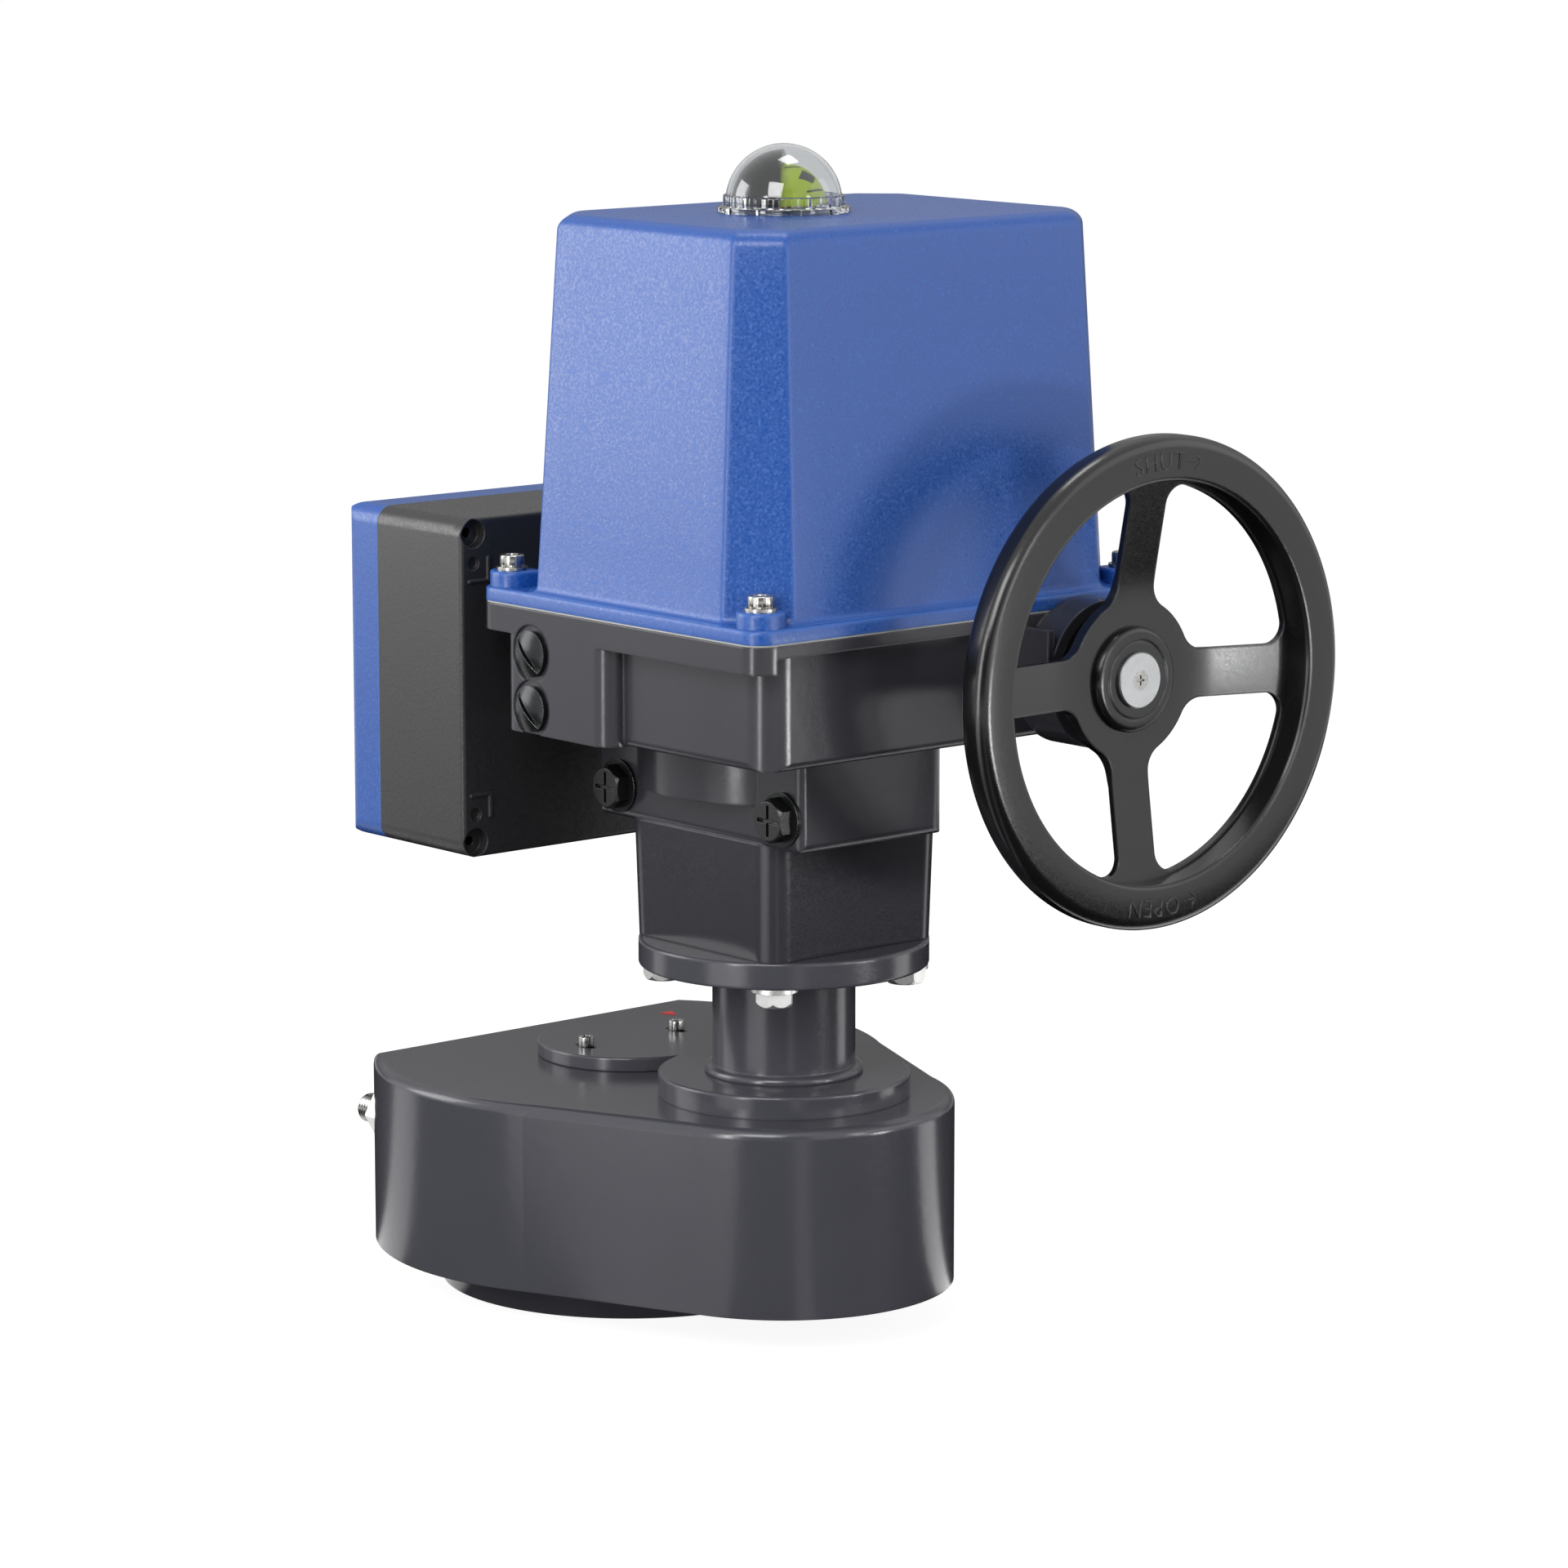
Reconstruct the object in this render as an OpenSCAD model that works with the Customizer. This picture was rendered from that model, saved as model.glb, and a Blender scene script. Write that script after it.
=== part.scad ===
// Electric valve actuator with battery unit, handwheel and spur gearbox.
// Millimetres, Z up. The origin is the middle of the output flange face, on the valve axis.
// The handwheel looks towards -Y and the battery unit stands on the +Y side.

/* [Output flange] */
// outer radius of the flange ring
flange_r = 102; // [98:1:106]
// height of the flange ring
flange_h = 21.2; // [18:0.2:24]
// bolt circle diameter of the valve flange
valve_pcd = 165; // [155:1:175]
// number of valve bolts
valve_bolts = 4; // [4:1:8]
// radius of each tapped hole for a valve bolt
valve_hole_r = 8.75; // [6:0.25:9.5]
// radius of the spigot recess
spigot_r = 65; // [60:1:68]
// depth of the spigot recess
spigot_depth = 5; // [3:0.5:7]

/* [Gearbox] */
// distance between the valve axis and the actuator axis
axis_gap = 125; // [125:1:130]
// radius of the casing round the valve axis
casing_r = 137.5; // [134:0.5:142]
// radius of the casing round the actuator axis
casing_small_r = 88.5; // [84:0.5:94]
// distance from the valve axis to the flat back of the casing
casing_back = 89; // [86:1:94]
// height of the casing top above the flange face
casing_top = 119.5; // [119:0.5:126]
// rounding of the top edge of the casing
casing_edge = 5; // [3:0.5:7]
// thickness of the casing wall
casing_wall = 10; // [7:0.5:11]
// thickness of the casing roof
casing_roof = 12; // [10:0.5:13]
// thickness of the base plate
base_h = 10; // [8:0.5:12]

/* [Gears of the gearbox] */
// teeth of the drive pinion
pinion_teeth = 20; // [20:1:20]
// teeth of the full circle of the output sector
sector_teeth = 80; // [80:1:80]
// height of the middle of the sector
sector_mid = 83; // [80:0.5:84]
// width of the sector
sector_width = 40; // [30:1:40]
// distance from the valve axis to the end faces of the sector
sector_end = 20; // [16:0.5:24]
// radius of the sector hub
sector_hub_r = 58; // [52:1:64]
// radius of the output sleeve
sleeve_r = 42; // [40:0.5:44]
// radius of the bore for the valve stem
stem_bore_r = 30; // [20:0.5:33]
// depth of the bore for the valve stem
stem_bore_h = 90; // [60:1:94]
// width of the keyway in the bore
key_width = 18; // [10:1:20]
// outer radius of the output bushes
output_bush_r = 48; // [46:0.5:49]
// radial clearance of running fits
running_gap = 0.05; // [0.02:0.01:0.1]
// gap between faces that turn past each other
face_gap = 0.3; // [0.3:0.1:0.5]

/* [Stop screws] */
// radius of a stop screw
stop_r = 8; // [6:0.5:8]
// distance of the stop screws from the side of the casing
stop_inset = 46.5; // [46.5:0.5:49.5]
// distance from the valve axis to the outer end of a stop screw
stop_out = 114; // [108:1:120]
// width across flats of a stop nut
stop_nut_flats = 24; // [20:1:26]
// thickness of a stop nut
stop_nut_h = 9; // [6:0.5:12]

/* [Position disc] */
// radius of the position disc
disc_r = 50; // [46:0.5:54]
// thickness of the position disc
disc_h = 7.2; // [5:0.2:9]
// radius at which the disc screws sit
disc_screw_pitch_r = 31; // [28:0.5:34]
// radius of a disc screw head
disc_screw_r = 4.25; // [3.5:0.25:5]
// height of a disc screw head
disc_screw_h = 5.5; // [3:0.5:6]
// length of the slots in the disc
disc_slot_length = 14.6; // [12:0.2:18]
// width of the slots in the disc
disc_slot_width = 5.4; // [5.2:0.2:7]

/* [Mounting column] */
// radius of the column
column_r = 37; // [34:0.5:42]
// radius of the passage in the column
column_bore_r = 27; // [22:0.5:29]
// radius of the foot disc
column_foot_r = 65.3; // [60:0.5:70]
// height of the foot disc
column_foot_h = 11.9; // [9:0.1:14]
// radius of the top flange
column_flange_r = 75; // [72:0.5:78]
// height of the top flange
column_flange_h = 14; // [11:0.5:16]
// height of the top of the column above the flange face
column_top = 202.6; // [198:0.2:208]
// radius of the bead round the bottom of the column
column_bead = 3; // [2:0.5:4]
// rounding of the edges of the column
column_edge = 1.5; // [0.5:0.5:2]
// bolt circle diameter of the actuator flange
actuator_pcd = 125; // [122:0.5:126]
// radius of an actuator bolt
bolt_r = 6; // [5:0.5:6]
// width across flats of a bolt head
bolt_flats = 18; // [16:1:19]
// height of a bolt head
bolt_head_h = 7.5; // [6:0.5:9]
// radius of a bolt washer
bolt_washer_r = 12; // [11:0.5:13]
// thickness of a bolt washer
bolt_washer_h = 2.5; // [1.5:0.5:3]

/* [Actuator housing] */
// half width of the square foot at its bottom
foot_half = 56.5; // [54:0.5:57]
// half width of the square foot at its top
foot_half_top = 58; // [56:0.5:58]
// corner radius of the square foot
foot_corner = 12.5; // [8:0.5:16]
// height of the foot
foot_h = 61; // [58:0.5:64]
// half length of the cross body
cross_half = 80; // [76:0.5:84]
// distance from the axis to the right wall of the cross body
cross_right = 42; // [38:0.5:50]
// corner radius of the cross body at its right
cross_corner = 12; // [8:0.5:16]
// corner radius of the cross body at its left
cross_corner_left = 4; // [2:0.5:6]
// height of the cross body below the gear case
cross_h = 49; // [47.5:0.5:52]
// radius of the round part over the cross body
round_r = 75; // [70:0.5:78]
// height of the round part
round_h = 29; // [22:0.5:32]
// left wall of the gear case, from the axis
case_left = 101; // [99.5:0.5:104]
// right wall of the gear case, from the axis
case_right = 146; // [142:0.5:148]
// half depth of the gear case
case_half = 105; // [103:0.5:107]
// corner radius of the gear case
case_corner = 15; // [10:0.5:20]
// height of the gear case up to the parting face
case_h = 64; // [62:0.5:67]
// height of the deep part of the band under the parting face
band_h = 14; // [11:0.5:17]
// height of the rest of the band
band_side_h = 6.5; // [5:0.5:9]
// height of the housing from its foot to the parting face
housing_h = 172.4; // [170:0.2:175]
// thickness of the walls of the housing
housing_wall = 8; // [6:0.5:8]
// radius of the boss round the hand shaft
shaft_boss_r = 38; // [36:0.5:40]
// front of the boss, from the axis
shaft_boss_front = 131; // [128:0.5:132]
// radius of the recess in the boss
shaft_recess_r = 32; // [28:0.5:34]
// depth of the recess in the boss
shaft_recess_h = 6; // [4:0.5:8]

/* [Cable entries] */
// face of the entry block, from the axis
entry_face = 112; // [110:0.5:113]
// start of the entry block, from the axis
entry_near = 5.7; // [2:0.1:12]
// end of the entry block, from the axis
entry_far = 90; // [86:0.5:96]
// rounding of the upright edges of the entry block
entry_corner = 10; // [4:0.5:14]
// distance of the entries from the axis
entry_y = 66.5; // [64:0.5:70]
// distance of the upper entry below the parting face
entry_drop = 22.7; // [21:0.1:24]
// distance between the entries
entry_pitch = 28.3; // [27:0.1:29]
// radius of a cable plug
entry_plug_r = 12; // [9:0.5:12.5]
// height of the dome of a cable plug
entry_plug_h = 4; // [2:0.5:6]
// radius of the faced ring round a plug
entry_face_r = 14.75; // [13:0.25:16]
// depth of the faced ring
entry_face_h = 1.5; // [0.5:0.25:2.5]

/* [Hex plugs] */
// distance of the front hex plug from the axis
hex_plug_front = 66.5; // [62:0.5:68]
// distance of the rear hex plug from the axis
hex_plug_rear = 62; // [58:0.5:66]
// height of the hex plugs over the bottom of the cross body
hex_plug_rise = 17; // [16:0.5:26]
// width across flats of a hex plug
hex_plug_flats = 20; // [17:1:22]
// height of a hex plug over its washer
hex_plug_h = 8; // [6:0.5:11]
// radius of a hex plug washer
hex_washer_r = 14; // [12:0.5:15]
// thickness of a hex plug washer
hex_washer_h = 2; // [1:0.5:3]

/* [Cover] */
// left edge of the cover flange, from the axis
cover_left = 112; // [110:0.5:113]
// right edge of the cover flange, from the axis
cover_right = 159; // [156:0.5:161]
// half depth of the cover flange
cover_half = 111; // [109:0.5:113]
// corner radius of the cover flange
cover_corner = 12; // [8:0.5:14]
// height of the top of the cover flange over the parting face
cover_flange_h = 8; // [6:0.5:10]
// thickness of the cover seal
seal_h = 0.8; // [0.4:0.2:1.6]
// left wall of the hood at its foot, from the axis
hood_left = 107.7; // [106:0.1:108.5]
// right wall of the hood at its foot, from the axis
hood_right = 147.9; // [146:0.1:149]
// front wall of the hood at its foot, from the axis
hood_front = 103.9; // [102:0.1:105]
// back wall of the hood at its foot, from the axis
hood_back = 91.6; // [88:0.1:96]
// leg of the corner bevels at the foot of the hood
hood_bevel = 25; // [23:0.5:27]
// leg of the corner bevels at the top of the hood
hood_bevel_top = 18.4; // [14:0.2:22]
// height of the top of the hood over the parting face
hood_h = 199.3; // [185:0.1:225]
// inward lean of the walls over the height of the hood
hood_lean = 11.3; // [6:0.1:13]
// rounding of the top edges of the hood
hood_edge = 8; // [5:0.5:9]
// thickness of the hood wall
hood_wall = 4.5; // [3:0.5:5]
// distance of the left screws from the axis
ear_left = 99; // [98:0.5:100]
// distance of the right screws from the axis
ear_right = 146; // [145:0.5:148]
// distance of the screws to the front and back
ear_half = 98; // [97:0.5:99]
// radius of a screw pad
ear_r = 11.8; // [11.2:0.2:12.4]
// half width of the square pocket over a screw pad
ear_pocket = 10.5; // [9:0.5:11]
// height of the square pocket
ear_pocket_h = 5; // [4:0.5:7]
// height of the top of the screw pads over the parting face
ear_h = 16; // [13:0.5:18]
// radius of a cover screw
cover_screw_r = 4; // [3:0.5:4]
// radius of a cover screw head
cover_head_r = 6.5; // [5:0.5:7]
// height of a cover screw head
cover_head_h = 6; // [4:0.5:8]
// radius of a cover washer
cover_washer_r = 8.15; // [7:0.05:9]
// thickness of a cover washer
cover_washer_h = 1.8; // [1:0.2:2.4]

/* [Dome window] */
// radius of the foot ring of the dome
dome_ring_r = 33.8; // [31:0.2:36]
// height of the foot ring
dome_ring_h = 3; // [1.5:0.1:4]
// radius of the upright part of the dome
dome_foot_r = 30.9; // [30:0.1:32]
// height of the upright part over the cover
dome_foot_h = 8.7; // [6:0.1:12]
// radius of the dome
dome_r = 29.6; // [28:0.1:30]
// height of the dome over the cover
dome_h = 34.5; // [33:0.5:38]
// thickness of the dome wall
dome_wall = 2.5; // [1.5:0.5:3]
// radius of the black half of the indicator
drum_r = 26.5; // [24:0.5:26.5]
// radius of the yellow half of the indicator
flag_r = 21.7; // [18:0.1:24]
// height of the middle of the yellow half over the cover
flag_mid = 2.7; // [0:0.1:4]

/* [Handwheel] */
// distance of the hand shaft from the actuator axis
hand_x = 101.7; // [101.7:0.1:101.7]
// distance of the hand shaft below the parting face
hand_drop = 31.7; // [30:0.1:33]
// radius of the handwheel
wheel_r = 125; // [115:1:130]
// radial width of the rim
rim_width = 23; // [18:0.5:26]
// depth of the rim
rim_depth = 18; // [14:0.5:20]
// rounding of the rim
rim_round = 6; // [3:0.5:7]
// front of the rim, from the axis
rim_front = 175; // [172:0.5:180]
// width of a spoke
spoke_width = 25; // [18:0.5:28]
// thickness of the spokes
spoke_h = 8; // [6:0.5:9]
// front of the spokes at the rim, from the axis
spoke_front = 160; // [158:0.5:164]
// front of the hub plate, from the axis
plate_front = 150; // [148:0.5:152]
// radius of the hub plate
plate_r = 41; // [34:0.5:42]
// rounding between the spokes and the hub plate
spoke_fillet = 14; // [10:1:24]
// rounding between the spokes and the rim
window_fillet = 9.5; // [5:0.5:12]
// ledge between the windows and the inner wall of the rim
rim_ledge = 1.2; // [0.5:0.1:3]
// rounding of the inner edges of the rim
rim_inner_round = 1.5; // [0.5:0.5:3]
// turn of the spokes in degrees
spoke_turn = -1.7; // [-5:0.1:5]
// radius of the hub
hub_r = 27; // [22:0.5:28]
// front of the hub, from the axis
hub_front = 154.5; // [152.5:0.5:158]
// rounding of the edge of the hub
hub_round = 3; // [1:0.5:4]
// radius of the ring groove in the face of the hub
hub_groove_r = 20; // [17:0.5:22]
// gap between the hub and the boss of the housing
hub_gap = 2; // [1:0.5:3]
// radius of the hand shaft
hand_shaft_r = 12; // [10:0.5:12]
// radius of the end washer
end_washer_r = 14.3; // [12.5:0.1:15]
// thickness of the end washer
end_washer_h = 2.2; // [2.1:0.1:4]
// radius of the head of the end screw
end_screw_r = 5; // [3.8:0.1:5]
// radius of the shank of the end screw
end_shank_r = 3; // [2.5:0.1:3]

/* [Worm drive] */
// module of the worm drive
worm_module = 5; // [5:1:5]
// teeth of the worm wheel
wheel_teeth = 34; // [34:1:34]
// width of the worm wheel
worm_wheel_width = 20; // [14:0.5:21]
// length of the worm thread
worm_length = 52; // [44:1:56]
// share of the pitch that a worm tooth fills
worm_share = 0.42; // [0.36:0.01:0.43]
// radius of the drive sleeve
drive_r = 22; // [19:0.5:23]
// radius of the pinion shaft
pinion_shaft_r = 15; // [12:0.5:16]
// outer radius of the worm bushes
worm_bush_r = 18; // [16:0.5:18]
// radius of the dog clutch halves
dog_r = 19; // [16:0.5:20]
// gap between the open dog clutch halves
dog_gap = 1.5; // [1:0.5:2]

/* [Motor] */
// radius of the motor
motor_r = 38; // [34:0.5:40]
// edge of the motor bracket round the motor
bracket_edge = 4; // [2:0.5:6]
// length of the motor
motor_length = 118; // [100:1:122]
// sideways position of the motor, from the axis
motor_x = 88; // [86:0.5:92]
// height of the motor over the parting face
motor_rise = 53; // [51:0.5:55]
// module of the motor gears
motor_module = 2; // [2:1:2]
// teeth of the gear on the worm shaft
worm_gear_teeth = 20; // [20:1:20]
// teeth of the gear between
idler_teeth = 30; // [30:1:30]
// teeth of the gear on the motor
motor_teeth = 15; // [15:1:15]
// width of the motor gears
motor_gear_width = 12; // [8:0.5:12]

/* [Indicator drive] */
// teeth of the small gears
indicator_small = 20; // [20:1:20]
// teeth of the large gears
indicator_large = 40; // [40:1:40]
// module of the indicator gears
indicator_module = 1; // [1:0.1:1]
// width of the indicator gears
indicator_width = 6; // [4:0.5:6]
// radius of the indicator spindle
spindle_r = 4; // [3:0.5:4.5]
// radius of the pin of the double gear
pin_r = 3; // [2:0.5:3.5]

/* [Electronics] */
// thickness of the chassis plate
chassis_h = 6; // [4:0.5:7]
// thickness of the boards
board_h = 2; // [1.5:0.5:3]
// height of the control board
board_tall = 140; // [110:1:150]
// length of the control board
board_long = 120; // [100:1:130]
// ways of the terminal block
terminal_ways = 9; // [6:1:10]

/* [Battery unit] */
// half width of the battery unit
box_half = 113.5; // [110:0.5:118]
// distance of the bottom of the battery unit below the parting face
box_drop = 136.7; // [131:0.1:143]
// height of the top of the battery unit over the parting face
box_rise = 40.4; // [35:0.1:49]
// front of the battery unit, from the valve axis towards the handwheel
box_front = 3; // [1:0.5:5]
// depth of the body up to the lid
box_depth = 71.5; // [66:0.5:76]
// depth of the lid
lid_depth = 28; // [20:0.5:32]
// rounding of the long edges
box_edge = 9; // [5:0.5:12]
// rounding of the front edges
box_front_edge = 2; // [1:0.5:3]
// thickness of the walls
box_wall = 4; // [3:0.5:5]
// radius of a screw recess
box_recess_r = 7.4; // [6:0.2:7.6]
// depth of a screw recess
box_recess_h = 6; // [3:0.5:9]
// radius of a battery cell
cell_r = 16; // [12:0.5:17]
// length of a battery cell
cell_length = 60; // [50:1:62]

/* [Hidden] */
$fn = 96;
pressure_angle = 20;
tooth_share = 0.47;
gear_module = 2 * axis_gap / (pinion_teeth + sector_teeth);
axis_y = -axis_gap;
stop_x = casing_r - stop_inset;
base_top = flange_h + base_h;
roof_low = casing_top - casing_roof;
sector_low = sector_mid - sector_width / 2;
sector_high = sector_mid + sector_width / 2;
disc_low = casing_top + face_gap;
disc_high = disc_low + disc_h;
foot_top = casing_top + column_foot_h;
flange_low = column_top - column_flange_h;
housing_low = column_top;
parting = housing_low + housing_h;
case_low = parting - case_h;
cross_z = case_low - cross_h;
band_low = parting - band_h;
band_side_low = parting - band_side_h;
cover_flange_top = parting + cover_flange_h;
ear_top = parting + ear_h;
hood_top = parting + hood_h;
hand_z = parting - hand_drop;
motor_z = parting + motor_rise;
entry_z = parting - entry_drop;
hex_plug_z = cross_z + hex_plug_rise;
box_low = parting - box_drop;
box_high = parting + box_rise;
floor_low = case_low;
floor_high = case_low + housing_wall;
round_low = case_low - round_h + 1;
bearing_low = housing_low + 11;
bearing_high = bearing_low + 18;
chassis_low = parting - 9;
chassis_high = chassis_low + chassis_h;
cover_low = parting + seal_h;
worm_pitch_r = hand_x - worm_module * wheel_teeth / 2;
worm_lead = PI * worm_module;
worm_lead_angle = atan(worm_module / 2 / worm_pitch_r);
worm_tip_r = worm_pitch_r + worm_module;
worm_root_r = worm_pitch_r - 1.24 * worm_module;
wheel_pitch_r = worm_module * wheel_teeth / 2;
wheel_tip_r = wheel_pitch_r + worm_module;
wheel_root_r = wheel_pitch_r - 1.2 * worm_module;
worm_turns = worm_length / worm_lead;
gear_plane = axis_y + 65;
block_rear = gear_plane - 4;
block_h = 14;
block_front = axis_y - 49;
idler_reach = motor_module * (worm_gear_teeth + idler_teeth) / 2;
motor_reach = motor_module * (idler_teeth + motor_teeth) / 2;
bracket_r = motor_r + bracket_edge;
motor_span = norm([motor_x - hand_x, motor_z - hand_z]);
motor_angle = atan2(motor_z - hand_z, motor_x - hand_x);
idler_open = acos((pow(idler_reach, 2) + pow(motor_span, 2) - pow(motor_reach, 2)) / (2 * idler_reach * motor_span));
idler_angle = motor_angle + idler_open;
idler_x = hand_x + idler_reach * cos(idler_angle);
idler_z = hand_z + idler_reach * sin(idler_angle);
last_angle = atan2(motor_z - idler_z, motor_x - idler_x);
idler_turn = mesh_turn(worm_gear_teeth, idler_angle, idler_angle, idler_teeth);
motor_turn = mesh_turn(idler_teeth, idler_turn, last_angle, motor_teeth);
indicator_reach = indicator_module * (indicator_small + indicator_large) / 2;
train_z = parting + 17;
train_step = indicator_width + 2;
bridge_z = train_z + 2 * train_step + 2;
neck_back = -box_front;
neck_front = axis_y + case_half;
seam_y = box_depth - box_front;
lid_y = seam_y + lid_depth;
dog_y = block_front - block_h - 3;
hub_back = shaft_boss_front + hub_gap;
end_cone_low = end_washer_h - end_screw_r + end_shank_r;
ear_xs = [-ear_left, ear_right];
ear_ys = [-ear_half, ear_half];

function involute(a) = tan(a) * 180 / PI - a;

function half_tooth(m, z, r) =
  let (base = m * z / 2 * cos(pressure_angle))
  let (a = acos(base / max(r, base)))
  tooth_share * 180 / z + involute(pressure_angle) - involute(a);

function polar(r, a) = [r * cos(a), r * sin(a)];

function gear_radii(m, z) = [m * (z / 2 - 1.25), m * (z / 2 - 0.6), m * z / 2, m * (z / 2 + 1)];

function gear_points(m, z) = [
  for (k = [0 : z - 1])
    for (s = [-1, 1])
      for (i = s < 0 ? [0 : 3] : [3 : -1 : 0])
        let (r = gear_radii(m, z)[i])
        polar(r, k * 360 / z + s * half_tooth(m, z, r))
];

// turn of the second gear so that its gap takes the tooth of the first
function mesh_turn(z1, turn1, direction, z2) =
  direction + 180 - 360 / z2 * (0.5 - (direction - turn1) * z1 / 360);

module gear_2d(m, z) {
  polygon(gear_points(m, z));
}

module rounded_rect(x0, x1, y0, y1, r) {
  translate([x0 + r, y0]) square([x1 - x0 - 2 * r, y1 - y0]);
  translate([x0, y0 + r]) square([x1 - x0, y1 - y0 - 2 * r]);
  for (x = [x0 + r, x1 - r])
    for (y = [y0 + r, y1 - r])
      translate([x, y]) circle(r = r);
}

module raise(z0, z1) {
  translate([0, 0, z0]) linear_extrude(z1 - z0) children();
}

module along_y(y0, y1) {
  translate([0, y1, 0]) rotate([90, 0, 0]) linear_extrude(y1 - y0) children();
}

module along_x(x0, x1) {
  translate([x0, 0, 0]) rotate([90, 0, 90]) linear_extrude(x1 - x0) children();
}

module rod_y(x, z, y0, y1, r) {
  translate([x, y0, z]) rotate([-90, 0, 0]) cylinder(r = r, h = y1 - y0);
}

module rod_x(y, z, x0, x1, r) {
  translate([x0, y, z]) rotate([0, 90, 0]) cylinder(r = r, h = x1 - x0);
}

module tube_y(x, z, y0, y1, r, bore) {
  difference() {
    rod_y(x, z, y0, y1, r);
    rod_y(x, z, y0 - 1, y1 + 1, bore);
  }
}

module tube(z0, z1, r, bore) {
  difference() {
    translate([0, 0, z0]) cylinder(r = r, h = z1 - z0);
    translate([0, 0, z0 - 1]) cylinder(r = bore, h = z1 - z0 + 2);
  }
}

module at_axis() {
  translate([0, axis_y, 0]) children();
}

// plan of the gearbox casing: two circles joined by their common tangents
module casing_plan(inset) {
  tilt = asin((casing_r - casing_small_r) / axis_gap);
  big = casing_r - inset;
  small = casing_small_r - inset;
  intersection() {
    union() {
      circle(r = big);
      translate([0, axis_y]) circle(r = small);
      polygon([
        [big * cos(tilt), -big * sin(tilt)],
        [-big * cos(tilt), -big * sin(tilt)],
        [-small * cos(tilt), axis_y - small * sin(tilt)],
        [small * cos(tilt), axis_y - small * sin(tilt)]
      ]);
    }
    translate([-2 * casing_r, casing_back - inset - 4 * casing_r])
      square([4 * casing_r, 4 * casing_r]);
  }
}

// half section of a round body with a rounded top edge
module rounded_section(r, z0, z1, edge) {
  translate([0, z0]) square([r, z1 - z0 - edge]);
  translate([0, z0]) square([r - edge, z1 - z0]);
  translate([r - edge, z1 - edge]) circle(r = edge);
}

module casing_side() {
  tilt = asin((casing_r - casing_small_r) / axis_gap);
  length = sqrt(pow(axis_gap, 2) - pow(casing_r - casing_small_r, 2));
  rotate([0, 0, -tilt])
    translate([0, 4, 0])
      rotate([90, 0, 0])
        linear_extrude(length + 8)
          difference() {
            rounded_section(casing_r - 0.3, flange_h - 3, casing_top, casing_edge + 0.7);
            square([casing_r, 3 * casing_top], center = true);
          }
}

module casing_solid() {
  intersection() {
    union() {
      rotate_extrude() rounded_section(casing_r, flange_h - 1, casing_top, casing_edge);
      at_axis()
        rotate_extrude() rounded_section(casing_small_r, flange_h - 2, casing_top, casing_edge);
      casing_side();
      mirror([1, 0, 0]) casing_side();
    }
    translate([-2 * casing_r, casing_back, 0])
      rotate([90, 0, 90])
        linear_extrude(4 * casing_r)
          translate([-4 * casing_r, 0])
            rounded_section(4 * casing_r, flange_h, casing_top, casing_edge);
  }
}

module output_flange() {
  color("dimgray") difference() {
    translate([0, 0, 0]) cylinder(r = flange_r, h = flange_h);
    translate([0, 0, -1]) cylinder(r = spigot_r, h = spigot_depth + 1);
    translate([0, 0, -1]) cylinder(r = output_bush_r, h = flange_h + 2);
    for (k = [0 : valve_bolts - 1])
      rotate([0, 0, 45 + k * 360 / valve_bolts])
        translate([valve_pcd / 2, 0, -1]) cylinder(r = valve_hole_r, h = flange_h + 2);
  }
}

module output_bushes() {
  color("goldenrod") {
    tube(spigot_depth + 1, base_top, output_bush_r, sleeve_r + running_gap);
    tube(roof_low, casing_top - 0.5, output_bush_r, sleeve_r + running_gap);
  }
}

module gearbox_base() {
  color("dimgray") difference() {
    union() {
      raise(flange_h, base_top) casing_plan(casing_wall);
      at_axis() raise(base_top, base_top + 8) circle(r = pinion_shaft_r + 12);
    }
    translate([0, 0, flange_h - 1]) cylinder(r = output_bush_r, h = base_h + 2);
    at_axis() translate([0, 0, flange_h + 2]) cylinder(r = pinion_shaft_r + 5, h = base_h + 10);
  }
}

module gearbox_housing() {
  color("dimgray") difference() {
    casing_solid();
    raise(flange_h - 1, roof_low) casing_plan(casing_wall);
    translate([0, 0, roof_low - 1]) cylinder(r = output_bush_r, h = casing_roof + 2);
    at_axis()
      translate([0, 0, roof_low - 1]) cylinder(r = pinion_shaft_r + 9, h = casing_roof + 2);
    for (x = [-stop_x, stop_x])
      rod_y(x, sector_mid, casing_back - casing_wall - 1, casing_back + 1, stop_r);
  }
}

module pinion_bushes() {
  color("goldenrod") at_axis() {
    tube(flange_h + 2, base_top + 8, pinion_shaft_r + 5, pinion_shaft_r + running_gap);
    tube(roof_low, casing_top, pinion_shaft_r + 9, pinion_shaft_r + 3 + running_gap);
  }
}

module stop_screws() {
  color("silver") for (x = [-stop_x, stop_x])
    rod_y(x, sector_mid, sector_end + face_gap, stop_out, stop_r);
}

module stop_nuts() {
  color("silver") for (x = [-stop_x, stop_x])
    difference() {
      translate([x, casing_back, sector_mid])
        rotate([-90, 0, 0])
          cylinder(r = stop_nut_flats / 2 / cos(30), h = stop_nut_h, $fn = 6);
      rod_y(x, sector_mid, casing_back - 1, casing_back + stop_nut_h + 1, stop_r);
    }
}

module position_mark() {
  color("red") raise(casing_top, casing_top + 0.4)
    polygon([[72.3, 63.6], [80.5, 63.6], [76.1, 54.8]]);
}

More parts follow.
